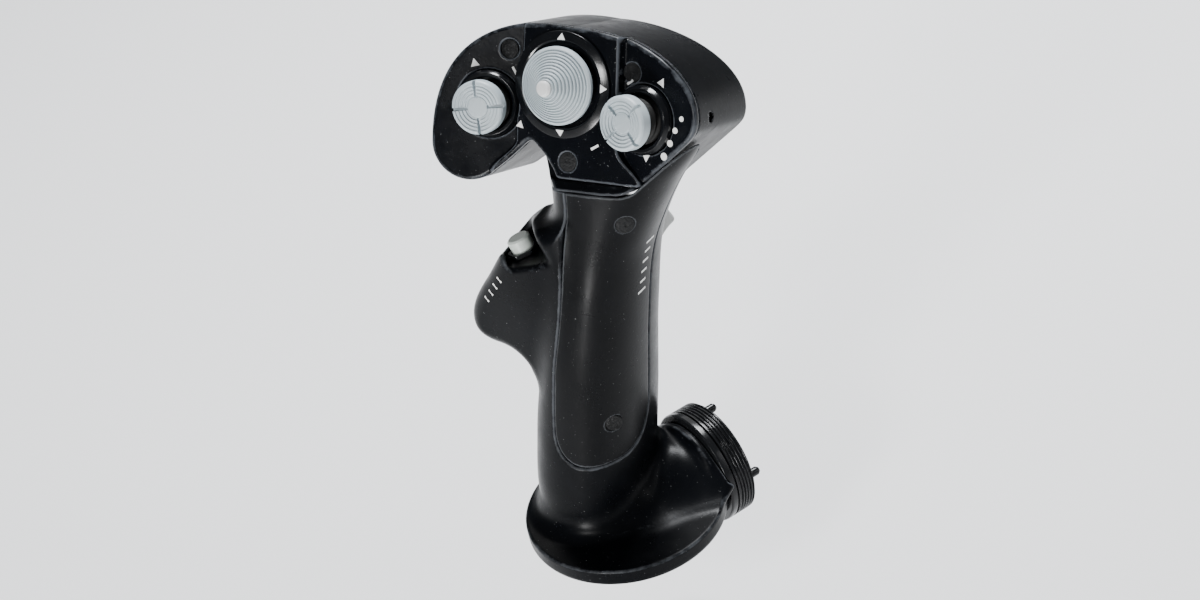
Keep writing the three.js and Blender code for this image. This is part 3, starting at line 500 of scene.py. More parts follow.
def grip_shell_field(p):
    outside = grip_outside(p)
    q = carried(GRIP_TO_COLLAR, p)
    b = carried(GRIP_TO_BUTTON, p)
    f = carried(GRIP_TO_FACE, p)
    x, y, z = p.T
    handle = handle_field(p)
    hollow = np.minimum(np.maximum(handle + GRIP_WALL, -1.5 - z), elbow_field(q, ELBOW_WALL, 5))
    hollow = np.minimum(hollow, cylinder(*q.T, CONNECTOR_ROOM, FLANGE_BACK + 0.2, 5))
    shell = np.maximum(outside, -hollow)
    recess = np.maximum(palm_seam(p) - GAP / 2, -(outside + PALM_THICKNESS + GAP))
    shell = smooth_max(shell, -recess, SEAM_EDGE)
    half = TRIGGER_WIDTH / 2 + 2 * GAP
    slot_low, slot_high = TRIGGER_SLOT
    slot = box_field(x, y, z, (TRIGGER_X - half, 24, slot_low), (TRIGGER_X + half, 60, slot_high), 1.5)
    shell = smooth_max(shell, -slot, 1.4)
    py, pz = TRIGGER_PIVOT
    for side in (-1, 1):
        near, far = sorted((TRIGGER_X + side * (half + 0.3), TRIGGER_X + side * (half + 3.1)))
        lug = box_field(x, y, z, (near, py - 4, pz - 4), (far, py + 4, pz + 4))
        shell = np.minimum(shell, np.maximum(lug, handle + 1))
    shell = np.maximum(shell, -cylinder(y - py, z - pz, x - TRIGGER_X, SCREW_SHANK + GAP, -11, 11))
    shell = smooth_max(shell, -pocket_field(b), 2.2)
    shell = np.maximum(shell, -cylinder(*b.T, 4.5, -13, 2))
    collar_room = cylinder(*q.T, COLLAR_RADIUS + 0.9, -COLLAR_LENGTH - GAP, 20)
    shell = smooth_max(shell, -collar_room, 0.6)
    groove = np.abs(np.hypot(q[:, 0], q[:, 1]) - SEAL_RING) - 1.05
    shell = np.maximum(shell, -np.maximum(groove, SEAL_Y - 0.9 - q[:, 2]))
    shell = smooth_max(shell, joint_field(f) + joint_gap(f), JOINT_EDGE)
    return np.maximum(shell, -palm_screw_holes(p))


# ---------- the head, in the face's frame ----------


def left_step(v):
    """The middle zone's left edge: straight, then sweeping left under the left hat."""
    return LEFT_STEP - 9.5 * ramp(-19, -31, v) + 2.2 * ramp(-6, 14, v)


def right_step(v):
    """The middle zone's right edge: straight, then sweeping right above the crease."""
    return RIGHT_STEP + 8.5 * ramp(-18, -30, v) ** 1.4


def crease_at(x):
    """The height of the crease under the face plate, far below the left wing."""
    return CREASE_V - 30 * ramp(CREASE_LEFT + 1, CREASE_LEFT - 1, x)


def face_height(x, v):
    """The face's depth: a raised middle between two sloping wings, and the apron below the crease."""
    left = left_step(v)
    right = right_step(v)
    wing = WING_DEPTH + WING_SLOPE * np.where(x < 0, LEFT_STEP - x, x - RIGHT_STEP)
    raised = ramp(left - 0.9, left + 0.9, x) * (1 - ramp(right - 0.9, right + 0.9, x))
    height = wing + (CENTRE_DEPTH - wing) * raised
    below = APRON_SLOPE * (crease_at(x) - v)
    return height + 0.5 * (below + np.sqrt(below * below + 0.5))


def face_depth(x, v):
    return float(face_height(np.array([x]), np.array([v]))[0])


def head_cans(q):
    """Round openings in the face for the hats and the screws."""
    holes = []
    for name, matrix in HAT_FRAMES.items():
        h = carried(between(FACE, matrix), q)
        holes.append(cylinder(*h.T, 10.4 if name == "trim_hat" else HAT_BEZEL_RADIUS + GAP, -30, 12))
    for x, v in FACE_SCREWS:
        across, along = q[:, 0] - x, q[:, 1] - v
        holes.append(cylinder(across, along, q[:, 2] - face_depth(x, v), SCREW_HEAD + GAP, -1.3, 9))
        holes.append(cylinder(across, along, q[:, 2], SCREW_SHANK + GAP, -30, 9))
    return np.minimum.reduce(holes)


def face_plate_field(q):
    x, v, w = q.T
    height = face_height(x, v)
    plate = smooth_max(HEAD_OUTLINE(x, v), w - height, 1.5)
    plate = smooth_max(plate, height - WALL - w, 0.5)
    plate = smooth_max(plate, crease_at(x) + GAP / 2 - v, 0.7)
    return smooth_max(plate, -head_cans(q), 0.5)


def head_shell_field(q):
    p = carried(FACE_TO_GRIP, q)
    x, v, w = q.T
    height = face_height(x, v)
    side = HEAD_OUTLINE(x, v)
    neck = handle_field(p)
    head = rounded_pair(side, HEAD_BACK - w, HEAD_BACK_ROUND)
    outside = smooth_min(head, np.maximum(neck, p[:, 2] - HANDLE[-1][0]), 3.0)
    inner = np.maximum(side + WALL, HEAD_BACK + WALL - w)
    inner = np.minimum(inner, np.maximum(neck + GRIP_WALL, p[:, 2] - 144))
    inner = np.maximum(inner, w - height + WALL)
    shell = np.maximum(outside, -inner)
    for sx, sv in FACE_SCREWS:
        post = cylinder(x - sx, v - sv, w, 3.2, HEAD_BACK + 1, 0)
        shell = np.minimum(shell, post)
        shell = np.maximum(shell, -cylinder(x - sx, v - sv, w, SCREW_SHANK + GAP, -26, 9))
    plate_room = np.maximum(height - WALL - GAP - w, crease_at(x) - GAP / 2 - v)
    shell = np.maximum(shell, -plate_room)
    shell = smooth_max(shell, w - height, 0.9)
    shell = np.maximum(shell, -cylinder(v - SET_SCREW[1], w - SET_SCREW[2], x - SET_SCREW[0], 1.6, -8, 8))
    return smooth_max(shell, joint_gap(q) - joint_field(q), JOINT_EDGE)


def trigger_field(p):
    x, y, z = p.T
    blade = rounded_pair(TRIGGER_OUTLINE(y, z), np.abs(x - TRIGGER_X) - TRIGGER_WIDTH / 2, 2.0)
    py, pz = TRIGGER_PIVOT
    return np.maximum(blade, -cylinder(y - py, z - pz, x - TRIGGER_X, SCREW_SHANK + GAP, -12, 12))


TRIGGER_OUTLINE = Outline(trigger_points())

# ---------- meshing a field ----------

BLOCK = 8
CHUNK = 400_000


def evaluated(field, points):
    parts = [field(points[i : i + CHUNK]) for i in range(0, len(points), CHUNK)]
    return np.concatenate(parts).astype(np.float32)


def sampled(field, low, high, cell):
    """The field on a grid, worked out only in the blocks near its surface."""
    blocks = np.ceil((np.array(high) - low) / (cell * BLOCK)).astype(int)
    low = np.array(low, np.float32)
    corner = np.stack(np.meshgrid(*(np.arange(n) for n in blocks), indexing="ij"), -1).reshape(-1, 3)
    centre = low + (corner + 0.5) * BLOCK * cell
    rough = evaluated(field, centre.astype(np.float32))
    grid = np.repeat(np.repeat(np.repeat(rough.reshape(blocks), BLOCK, 0), BLOCK, 1), BLOCK, 2)
    near = np.flatnonzero(np.abs(rough) < 1.7 * BLOCK * cell)
    inner = np.stack(np.meshgrid(*(np.arange(BLOCK),) * 3, indexing="ij"), -1).reshape(-1, 3)
    index = (corner[near, None] * BLOCK + inner).reshape(-1, 3)
    values = evaluated(field, (low + index * cell).astype(np.float32))
    grid[tuple(index.T)] = values
    return grid


def surface(field, low, high, cell):
    """Vertices on a field's surface, one for each grid cell that it crosses, and quads between them."""
    low = np.array(low, np.float32)
    grid = sampled(field, low, high, cell)
    inside = grid < 0
    count = np.zeros(tuple(n - 1 for n in grid.shape), np.uint8)
    corners = [(a, b, c) for a in (0, 1) for b in (0, 1) for c in (0, 1)]
    for a, b, c in corners:
        count += inside[a : a + count.shape[0], b : b + count.shape[1], c : c + count.shape[2]]
    cells = np.argwhere((count > 0) & (count < 8))
    value = {k: grid[cells[:, 0] + k[0], cells[:, 1] + k[1], cells[:, 2] + k[2]] for k in corners}
    total = np.zeros((len(cells), 3), np.float32)
    hits = np.zeros(len(cells), np.float32)
    for k in corners:
        for axis in range(3):
            if k[axis]:
                continue
            other = tuple(1 if i == axis else k[i] for i in range(3))
            crossed = (value[k] < 0) != (value[other] < 0)
            share = np.where(crossed, value[k] / np.where(crossed, value[k] - value[other], 1), 0)
            point = np.tile(np.array(k, np.float32), (len(cells), 1))
            point[:, axis] += share
            total += point * crossed[:, None]
            hits += crossed
    points = low + (cells + total / hits[:, None]) * cell
    number = np.full(count.shape, -1, np.int32)
    number[tuple(cells.T)] = np.arange(len(cells))
    quads = []
    for axis in range(3):
        last = inside.shape[axis] - 1
        first = inside.take(range(last), axis)
        second = inside.take(range(1, last + 1), axis)
        across = [i for i in range(3) if i != axis]
        u, v = np.eye(3, dtype=int)[across]
        for falling in (False, True):
            at = np.argwhere(first & ~second if falling else ~first & second)
            fits = np.all([(at[:, i] > 0) & (at[:, i] < grid.shape[i] - 1) for i in across], axis=0)
            at = at[fits]
            ring = [at - u - v, at - v, at, at - u]
            ring = [number[tuple(r.T)] for r in ring]
            if falling == (axis == 1):
                ring.reverse()
            quads.append(np.stack(ring, 1))
    return points, np.concatenate(quads)


def settled(field, points, cell):
    """Points moved onto the field's surface, with its curvature there."""
    h = 0.25
    steps = np.eye(3, dtype=np.float32) * h
    for _ in range(3):
        middle = evaluated(field, points)
        sides = [(evaluated(field, points + s), evaluated(field, points - s)) for s in steps]
        slope = np.stack([(a - b) / (2 * h) for a, b in sides], 1)
        size = np.maximum((slope**2).sum(1), 0.05)
        shift = slope * (middle / size)[:, None]
        length = np.linalg.norm(shift, axis=1)
        shift *= np.minimum(1, 0.5 * cell / np.maximum(length, 1e-9))[:, None]
        points = points - shift
        bend = (sum(a + b for a, b in sides) - 6 * middle) / (h * h) / np.sqrt(size)
    return points, bend


# ---------- making objects ----------


def linked(name, data):
    ob = bpy.data.objects.new(name, data)
    bpy.context.scene.collection.objects.link(ob)
    return ob


def mesh_object(name, points, faces, matrix, finish, body, nodes=(), smooth_angle=None):
    """A named piece in metres from millimetre points in a frame, riding on a body."""
    placed = carried(matrix, np.asarray(points, float)) * MM
    mesh = bpy.data.meshes.new(name)
    mesh.from_pydata(placed.tolist(), [], faces)
    mesh.validate()
    mesh.shade_smooth()
    mesh.materials.append(M[finish])
    ob = linked(name, mesh)
    if smooth_angle is not None:
        mesh.set_sharp_from_angle(angle=smooth_angle)
    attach(ob, body)
    if nodes:
        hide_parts(*nodes)
    return ob


def moulded(name, field, low, high, matrix, finish, body, nodes, cell=CELL):
    """A piece meshed from its field, with an attribute that says how sharply each point bends."""
    points, quads = surface(field, low, high, cell)
    points, bend = settled(field, points, cell)
    used, faces = np.unique(quads, return_inverse=True)
    faces = faces.reshape(quads.shape).tolist()
    ob = mesh_object(name, points[used], faces, matrix, finish, body, nodes)
    edge = ob.data.attributes.new("edge", "FLOAT", "POINT")
    edge.data.foreach_set("value", np.clip(bend[used], -2, 2).astype(np.float32))


def filleted(corners, closed=False, steps=5):
    """A profile's points, with each corner (r, z, fillet) rounded."""
    count = len(corners)
    out = []
    for i, (x, y, radius) in enumerate(corners):
        here = np.array((x, y), float)
        if radius <= 0 or (not closed and i in (0, count - 1)):
            out.append(here)
            continue
        one = np.array(corners[i - 1][:2], float) - here
        two = np.array(corners[(i + 1) % count][:2], float) - here
        one_length, two_length = np.linalg.norm(one), np.linalg.norm(two)
        one /= one_length
        two /= two_length
        half = math.acos(float(np.clip(one @ two, -1, 1))) / 2
        back = min(radius / math.tan(half), 0.48 * one_length, 0.48 * two_length)
        a = here + one * back
        b = here + two * back
        for t in np.linspace(0, 1, steps + 1):
            out.append((1 - t) ** 2 * a + 2 * t * (1 - t) * here + t * t * b)
    return np.array(out)


def circle(count):
    """Even angles round a whole turn."""
    return np.linspace(0, 2 * math.pi, count, endpoint=False)


def spun(profile, count):
    """A profile's radii and heights, repeated for each angle."""
    return np.repeat(profile[:, :1], count, 1), np.repeat(profile[:, 1:], count, 1)


def revolved(name, radii, heights, angles, matrix, finish, body, nodes, closed=False, sharp=40):
    """A piece swept round +Z: radii and heights are grids of profile points by angles."""
    rows, columns = radii.shape
    points = np.stack((radii * np.cos(angles), radii * np.sin(angles), heights), -1).reshape(-1, 3)
    faces = []
    last = rows if closed else rows - 1
    for i in range(last):
        a = i * columns
        b = ((i + 1) % rows) * columns
        for j in range(columns):
            k = (j + 1) % columns
            quad = [a + j, a + k, b + k, b + j]
            if not closed and radii[i, 0] < 1e-6:
                quad = [a, b + k, b + j]
            elif not closed and radii[(i + 1) % rows, 0] < 1e-6:
                quad = [a + j, a + k, b]
            faces.append(quad)
    used = sorted({i for f in faces for i in f})
    remap = {old: new for new, old in enumerate(used)}
    faces = [[remap[i] for i in f] for f in faces]
    mesh_object(name, points[used], faces, matrix, finish, body, nodes, math.radians(sharp))


def turned(name, corners, matrix, finish, body, nodes, closed=False, segments=96):
    """A plain turned piece from a filleted profile, ordered from the bottom outwards and up."""
    radii, heights = spun(filleted(corners, closed), segments)
    revolved(name, radii, heights, circle(segments)[None, :], matrix, finish, body, nodes, closed)


# ---------- materials ----------


def node(tree, kind, **values):
    made = tree.nodes.new(kind)
    for key, value in values.items():
        if key in made.inputs:
            made.inputs[key].default_value = value
        else:
            setattr(made, key, value)
    return made


def surface_noise(tree, scale, detail, rough=0.5):
    coord = node(tree, "ShaderNodeTexCoord")
    made = node(tree, "ShaderNodeTexNoise", Scale=scale, Detail=detail, Roughness=rough)
    tree.links.new(coord.outputs["Object"], made.inputs["Vector"])
    return made.outputs["Fac"]


def ranged(tree, value, low, high, to_low, to_high):
    limits = {"From Min": low, "From Max": high, "To Min": to_low, "To Max": to_high}
    made = node(tree, "ShaderNodeMapRange", **limits)
    tree.links.new(value, made.inputs["Value"])
    return made.outputs["Result"]


def mixed(tree, share, one, two):
    """A colour mix of two plain colours or sockets by a socket from 0 to 1."""
    made = node(tree, "ShaderNodeMix", data_type="RGBA")
    tree.links.new(share, made.inputs[0])
    for value, socket in ((one, made.inputs[6]), (two, made.inputs[7])):
        if isinstance(value, tuple):
            socket.default_value = (*value, 1)
        else:
            tree.links.new(value, socket)
    return made.outputs[2]


def added(tree, a, b):
    made = node(tree, "ShaderNodeMath", operation="ADD")
    tree.links.new(a, made.inputs[0])
    tree.links.new(b, made.inputs[1])
    return made.outputs[0]


def plain_material(name, **values):
    """A new material, with values set on its shader's own sockets."""
    material = bpy.data.materials.new(name)
    material.use_nodes = True
    shader = material.node_tree.nodes["Principled BSDF"]
    for key, value in values.items():
        shader.inputs[key.replace("_", " ")].default_value = value
    return material, shader


def surfaced(name, base, tint, rough, bump, grain=900, metallic=0.0, wear_and_highlight=None, specular=0.5, speck=0.0):
    """A moulded or machined surface: cloudy colour, uneven gloss, fine grain, and on its convex edges a
    lighter colour that is partly wear and partly a painted edge highlight.
    """
    material, shader = plain_material(name, Metallic=metallic, Specular_IOR_Level=specular)
    tree = material.node_tree
    cloud = surface_noise(tree, 45, 5, 0.55)
    fine = surface_noise(tree, grain, 3, 0.6)
    colour = mixed(tree, ranged(tree, cloud, 0.3, 0.7, 0, 1), base, tint)
    roughness = ranged(tree, surface_noise(tree, 110, 6, 0.65), 0.3, 0.7, rough[0], rough[1])
    # Convex edges get a lighter colour: partly rubbing wear, partly a painted highlight standing in for
    # light caught on rounded edges and seams.
    if wear_and_highlight:
        edge = node(tree, "ShaderNodeAttribute", attribute_name="edge").outputs["Fac"]
        patchy = ranged(tree, surface_noise(tree, 260, 5, 0.7), 0.35, 0.7, -0.5, 0.5)
        worn_and_highlit = ranged(tree, added(tree, edge, patchy), 0.55, 1.6, 0, 1)
        colour = mixed(tree, worn_and_highlit, colour, wear_and_highlight)
        roughness = added(tree, roughness, ranged(tree, worn_and_highlit, 0, 1, 0, 0.12))
    if speck:
        dust = ranged(tree, surface_noise(tree, 1700, 2), 0.735, 0.77, 0, speck)
        colour = mixed(tree, dust, colour, (0.35, 0.36, 0.36))
    tree.links.new(colour, shader.inputs["Base Color"])
    tree.links.new(roughness, shader.inputs["Roughness"])
    relief = node(tree, "ShaderNodeBump", Strength=bump, Distance=0.001)
    tree.links.new(fine, relief.inputs["Height"])
    tree.links.new(relief.outputs["Normal"], shader.inputs["Normal"])
    return material


# The edge colours below paint convex edges lighter: partly rubbing wear, partly a painted edge highlight.
M = {
    "casing": surfaced(
        "casing_gloss_black", (0.0012, 0.0015, 0.002), (0.0024, 0.0028, 0.0038), (0.24, 0.38), 0.035,
        wear_and_highlight=(0.05, 0.054, 0.06), speck=0.5, specular=0.07),
    "palm": surfaced(
        "palm_satin_black", (0.0012, 0.0014, 0.0018), (0.0024, 0.0027, 0.0034), (0.25, 0.36), 0.04,
        wear_and_highlight=(0.045, 0.048, 0.052), speck=0.4, specular=0.09),
    "face": surfaced(
        "face_gloss_black", (0.0012, 0.0016, 0.0024), (0.0026, 0.0032, 0.0048), (0.18, 0.32), 0.03,
        wear_and_highlight=(0.06, 0.066, 0.075), speck=0.5, specular=0.12),
    "gloss_trim": surfaced(
        "trim_gloss_black", (0.002, 0.0024, 0.003), (0.004, 0.0045, 0.0055), (0.12, 0.24), 0.015,
        specular=0.25),
    "boot_rubber": surfaced(
        "boot_rubber", (0.007, 0.007, 0.007), (0.014, 0.014, 0.013), (0.55, 0.75), 0.2, grain=1400,
        specular=0.3),
    "hat_plastic": surfaced(
        "hat_grey", (0.35, 0.405, 0.435), (0.42, 0.475, 0.50), (0.38, 0.52), 0.05, grain=1600),
    "tip_plastic": surfaced("tip_grey", (0.58, 0.58, 0.58), (0.66, 0.66, 0.655), (0.28, 0.4), 0.02),
    "legend": surfaced(
        "legend_white", (0.72, 0.72, 0.7), (0.82, 0.82, 0.8), (0.5, 0.65), 0.05, grain=2000),
    "trigger_plastic": surfaced(
        "trigger_grey", (0.27, 0.275, 0.265), (0.33, 0.335, 0.32), (0.36, 0.5), 0.05,
        wear_and_highlight=(0.42, 0.42, 0.4)),
    "button_plastic": surfaced("button_pale", (0.52, 0.57, 0.53), (0.6, 0.64, 0.6), (0.3, 0.45), 0.03),
    "collar_metal": surfaced(
        "collar_anodised", (0.004, 0.0045, 0.005), (0.008, 0.0085, 0.0095), (0.16, 0.28), 0.03,
        specular=0.2),
    "steel": surfaced("steel", (0.5, 0.5, 0.5), (0.6, 0.6, 0.6), (0.22, 0.38), 0.05, metallic=1.0),
    "brass": surfaced("brass", (0.55, 0.42, 0.18), (0.66, 0.5, 0.24), (0.25, 0.4), 0.04, metallic=1.0),
    "potting": surfaced(
        "potting", (0.002, 0.0022, 0.0024), (0.006, 0.0065, 0.007), (0.35, 0.6), 0.5, grain=1500,
        specular=0.2),
    "insert": surfaced("insert_green", (0.02, 0.035, 0.022), (0.035, 0.055, 0.036), (0.4, 0.6), 0.08),
    "wire": surfaced(
        "wire_sleeve", (0.035, 0.036, 0.04), (0.06, 0.06, 0.065), (0.5, 0.7), 0.4, grain=2400),
}


def dress_cad_nodes():
    """Every carried-over CAD node takes the finish of its slot."""
    for part in frame["record"]["subparts"]:
        mesh = frame["nodes"][part["node"]].data
        mesh.materials.clear()
        mesh.materials.append(M[part["material_slot"]])


# ---------- the moulded shells ----------


def shells():
    moulded("grip_shell", grip_shell_field, (-56, -40, -27), (52, 46, 150), GRIP, "casing", "casing",
            ["grip_body"])
    moulded("palm_cover_skin", palm_cover_field, (-20, -26, 24), (48, 42, 146), GRIP, "palm", "casing",
            ["palm_cover"])
    moulded("head_shell", head_shell_field, (-52, -50, -46), (53, 22, 6), FACE, "casing", "casing",
            ["head_housing"])
    moulded("face_plate", face_plate_field, (-52, -36, -13), (53, 22, 6), FACE, "face", "casing",
            ["head_faceplate"], CELL * 0.9)
    moulded("trigger_blade", trigger_field, (-3, 24, 82), (15, 52, 115), GRIP, "trigger_plastic", "trigger",
            ["trigger_lever"], TRIGGER_CELL)


# ---------- thumb hats ----------


def slot_angles():
    """Angles round a knob, close together at its four slots."""
    fine = np.radians([0.0, 2.2, 2.8, 3.2, 3.6, 4.4, 6.0])
    side = np.concatenate((-fine[:0:-1], fine))
    gap = np.radians(np.linspace(6, 84, 16))[1:-1]
    quarter = np.concatenate((side, gap))
    return np.concatenate([quarter + k * math.pi / 2 for k in range(4)])


def knob(name, spin):
    """A side hat's knob: a dished top of stepped rings, with four slots from its flat middle to its rim."""
    r = HAT_KNOB_RADIUS
    low, high = 7.2, 12.0
    flat = 0.38 * r
    rings = 4
    crest = 0.9 * r
    top = [(r, high - 1.0, 0.25), (r - 0.35, high - 0.35, 0.2), (crest, high - 0.02, 0.12)]
    step = (crest - flat) / rings
    drop = 0.2
    groove = 0.48
    for k in range(rings):
        outer = crest - k * step
        z = high - 0.02 - k * drop
        top += [(outer - 0.3 * step, z, 0.05), (outer - 0.38 * step, z - groove, 0.05),
                (outer - 0.74 * step, z - groove, 0.05), (outer - 0.95 * step, z - drop, 0.05)]
    floor = high - 0.02 - rings * drop - 0.1
    top += [(flat, floor, 0.1), (flat - 0.5, floor + 0.12, 0.1), (0, floor + 0.16, 0)]
    profile = filleted([(0, low + 2.4, 0), (2.1, low + 2.4, 0), (2.1, low, 0.1), (r - 0.4, low, 0.3),
                        (r, low + 0.7, 0.3)] + top, steps=3)
    angles = slot_angles()
    base = np.repeat(angles[None, :], len(profile), 0)
    radii, heights = spun(profile, len(angles))
    off = (angles + math.pi / 4) % (math.pi / 2) - math.pi / 4
    near = 1 - ramp(math.radians(6), math.radians(26), np.abs(off))
    widen = np.minimum(r / np.maximum(radii, r / 2.6), 2.6) - 1
    is_top = np.arange(len(profile))[:, None] > 12
    base = base + np.where(is_top, off[None, :] * near[None, :] * widen, 0)
    cut = 1 - ramp(math.radians(2.8), math.radians(3.6), np.abs(off))[None, :]
    reach = ramp(flat - 0.1, flat + 0.25, radii)
    bed = high - 1.75 - 0.5 * ramp(flat, r, radii)
    above = np.maximum(heights - bed, 0) * is_top
    heights = heights - above * cut * reach
    matrix = HAT_FRAMES[name] @ turn_z(spin)
    revolved(name + "_cap", radii, heights, base, matrix, "hat_plastic", name, [name + "_knob"], sharp=32)


def side_hat(name, spin):
    """A side hat's bezel ring, folded boot and knob."""
    matrix = HAT_FRAMES[name]
    r = HAT_BEZEL_RADIUS
    ring = [(8.9, -3, 0.2), (r, -3, 0.2), (r, 1.6, 0.3), (r - 0.5, 2.4, 0.4), (r - 0.9, 3, 0.3),
            (8.9, 3, 0.3)]
    bellows = [(6.6, 0.2, 0.1), (7.6, 0.2, 0.3), (7.7, 1.5, 0.4), (6.7, 2.3, 0.4), (7.4, 3.3, 0.4),
               (6.4, 4.2, 0.4), (6.9, 5.3, 0.4), (6.0, 6.9, 0.3), (2.2, 6.9, 0.1), (2.2, 5.7, 0.1),
               (5.0, 5.7, 0.3), (5.4, 4.2, 0.4), (6.4, 3.3, 0.4), (5.7, 2.3, 0.4), (6.7, 1.5, 0.4)]
    turned(name + "_ring", ring, matrix, "gloss_trim", "casing", [name + "_bezel"], closed=True)
    turned(name + "_bellows", bellows, matrix, "boot_rubber", name, [name + "_boot"], closed=True)
    knob(name, spin)


def trim_hat():
    """The middle hat's ribbed cone, tip, boot and boss ring."""
    matrix = HAT_FRAMES["trim_hat"]
    ridges = 10
    inner, outer = 3.1, TRIM_RADIUS - 0.5
    step = (outer - inner) / ridges

    def cone(r):
        return CONE_HEIGHT * (1 - (r - inner) / (outer - inner)) ** 1.35 - 0.05

    corners = [(0, -0.6, 0), (2.1, -0.6, 0), (2.1, -1, 0.1), (10.6, -1, 0.1), (11, -2, 0.1),
               (TRIM_RADIUS, -2, 0.3), (TRIM_RADIUS, -0.55, 0.25), (TRIM_RADIUS - 0.45, -0.1, 0.25)]
    for k in range(ridges):
        r = outer - k * step
        z = cone(r)
        z_mid = z + 0.3 * (cone(r - step) - z)
        corners += [(r - 0.08 * step, z + 0.1, 0.08), (r - 0.45 * step, z_mid + 0.2, 0.12),
                    (r - 0.6 * step, z_mid - 0.42, 0.06), (r - 0.92 * step, z_mid - 0.36, 0.06)]
    top = CONE_HEIGHT + 0.05
    corners += [(inner - 0.2, CONE_HEIGHT, 0.1), (2.6, top, 0.05), (0, top, 0)]
    nub = [(0, 7.1, 0), (2.55, 7.1, 0.1), (2.6, 7.55, 0.3), (1.9, 8.3, 0.5), (0, TRIM_HEIGHT, 0)]
    bellows = [(7.4, -5.6, 0.1), (8.4, -5.6, 0.3), (8.5, -4.6, 0.4), (7.5, -3.9, 0.4), (8.0, -3.0, 0.4),
               (7.0, -1.3, 0.3), (2.2, -1.3, 0.1), (2.2, -2.5, 0.1), (6.0, -2.5, 0.3), (6.8, -3.4, 0.3),
               (6.4, -4.2, 0.4)]
    base = CENTRE_DEPTH + GAP
    boss = [(BOSS_INNER, base, 0.1), (BOSS_OUTER, base, 0.1), (BOSS_OUTER - 0.1, base + 0.75, 0.35),
            (BOSS_INNER + 0.9, -3.25, 0.5), (BOSS_INNER, -3.6, 0.3)]
    turned("trim_hat_ribbed_cone", corners, matrix, "hat_plastic", "trim_hat", ["trim_hat_cone"],
           segments=160)
    turned("trim_hat_nub", nub, matrix, "tip_plastic", "trim_hat", ["trim_hat_tip"], segments=64)
    turned("trim_hat_bellows", bellows, matrix, "boot_rubber", "trim_hat", ["trim_hat_boot"], closed=True)
    turned("trim_boss", boss, matrix, "gloss_trim", "casing", ["trim_boss_ring"], closed=True, segments=160)


# ---------- release button ----------


def release_button():
    """The button's cap and the hexagonal nut round it."""
    r = BUTTON_RADIUS
    cap = [(0, 1.4, 0), (r - 0.2, 1.4, 0.2), (r, 1.7, 0.2), (r, 5.65, 0.3), (r - 0.7, 6.25, 0.5),
           (0, 6.4, 0)]
    turned("release_button_head", cap, BUTTON, "button_plastic", "release_button", ["release_button_cap"])
    low, high = 0.3, 1.9
    inner, outer = r + GAP, BUTTON_NUT_RADIUS
    profile = [(inner, low, 0.1), (outer, low, 0.2), (outer, high, 0.2), (inner, high, 0.3)]
    angles = circle(120)[None, :]
    radii, heights = spun(filleted(profile, closed=True, steps=3), angles.size)
    side = math.pi / 3
    flat = outer * math.cos(side / 2) / np.cos((angles + side / 2) % side - side / 2)
    chamfer = outer - 0.25 + 0.9 * np.minimum(heights - low, high - heights)
    radii = np.where(radii > (inner + outer) / 2, np.minimum(np.minimum(radii, flat), chamfer), radii)
    revolved("release_button_hex_nut", radii, heights, angles, BUTTON, "gloss_trim", "casing",
             ["release_button_nut"], closed=True)


# ---------- mounting collar ----------


def thread_collar():
    """The collar: a smooth band, then a real single-start thread up to its chamfered mouth."""
    segments = 180
    angles = circle(segments)
    low = -COLLAR_LENGTH
    thread_low, thread_high = low + 3.4, -0.7
    rows = np.arange(thread_low, thread_high, 0.12)
    turns = (rows[:, None] - thread_low) / THREAD_PITCH - angles[None, :] / (2 * math.pi)
    wave = np.abs((turns % 1) * 2 - 1)
    depth = THREAD_DEPTH * ramp(0.15, 0.8, wave)
    fade = ramp(thread_low, thread_low + 0.8, rows)[:, None]
    outer = COLLAR_RADIUS - depth * fade
    bottom = [(COLLAR_BACK, low, 0.1), (COLLAR_RADIUS - 0.3, low, 0.4), (COLLAR_RADIUS, low + 0.8, 0.3),
              (COLLAR_RADIUS, low + 2.6, 0.2), (COLLAR_RADIUS - 0.75, low + 3.0, 0.2),
              (COLLAR_RADIUS - 0.75, thread_low - 0.02, 0)]
    top = [(COLLAR_RADIUS - 0.7, -0.5, 0), (COLLAR_RADIUS - 0.9, 0, 0.3), (COLLAR_BORE + 0.3, 0, 0.2),
           (COLLAR_BORE, -0.4, 0.2), (COLLAR_BORE, 1 + low, 0.2), (COLLAR_BACK, 1 + low, 0)]
    (rb, zb), (rt, zt) = (spun(filleted(corners), segments) for corners in (bottom, top))
    radii = np.concatenate((rb, outer, rt))
    heights = np.concatenate((zb, np.repeat(rows[:, None], segments, 1), zt))
    revolved("threaded_collar", radii, heights, angles[None, :], COLLAR, "collar_metal", "casing",
             ["mount_collar"], closed=True, sharp=50)


def index_pins():
    """Four round-ended pins, evenly round the collar's end face."""
    pin = [(0, -3, 0), (PIN_RADIUS, -3, 0.1), (PIN_RADIUS, PIN_PROUD - 1.0, 0.7),
           (PIN_RADIUS - 0.7, PIN_PROUD, 0.6), (0, PIN_PROUD, 0)]
    for i in range(4):
        # turned the other way, because the collar's second axis points down
        matrix = COLLAR @ turn_z(-PIN_OFFSET - i * math.pi / 2) @ move(PIN_CIRCLE, 0, 0)
        turned(f"index_stud_{i + 1}", pin, matrix, "collar_metal", "casing", [f"index_pin_{i + 1}"],
               segments=40)


# ---------- potted screws and painted marks ----------


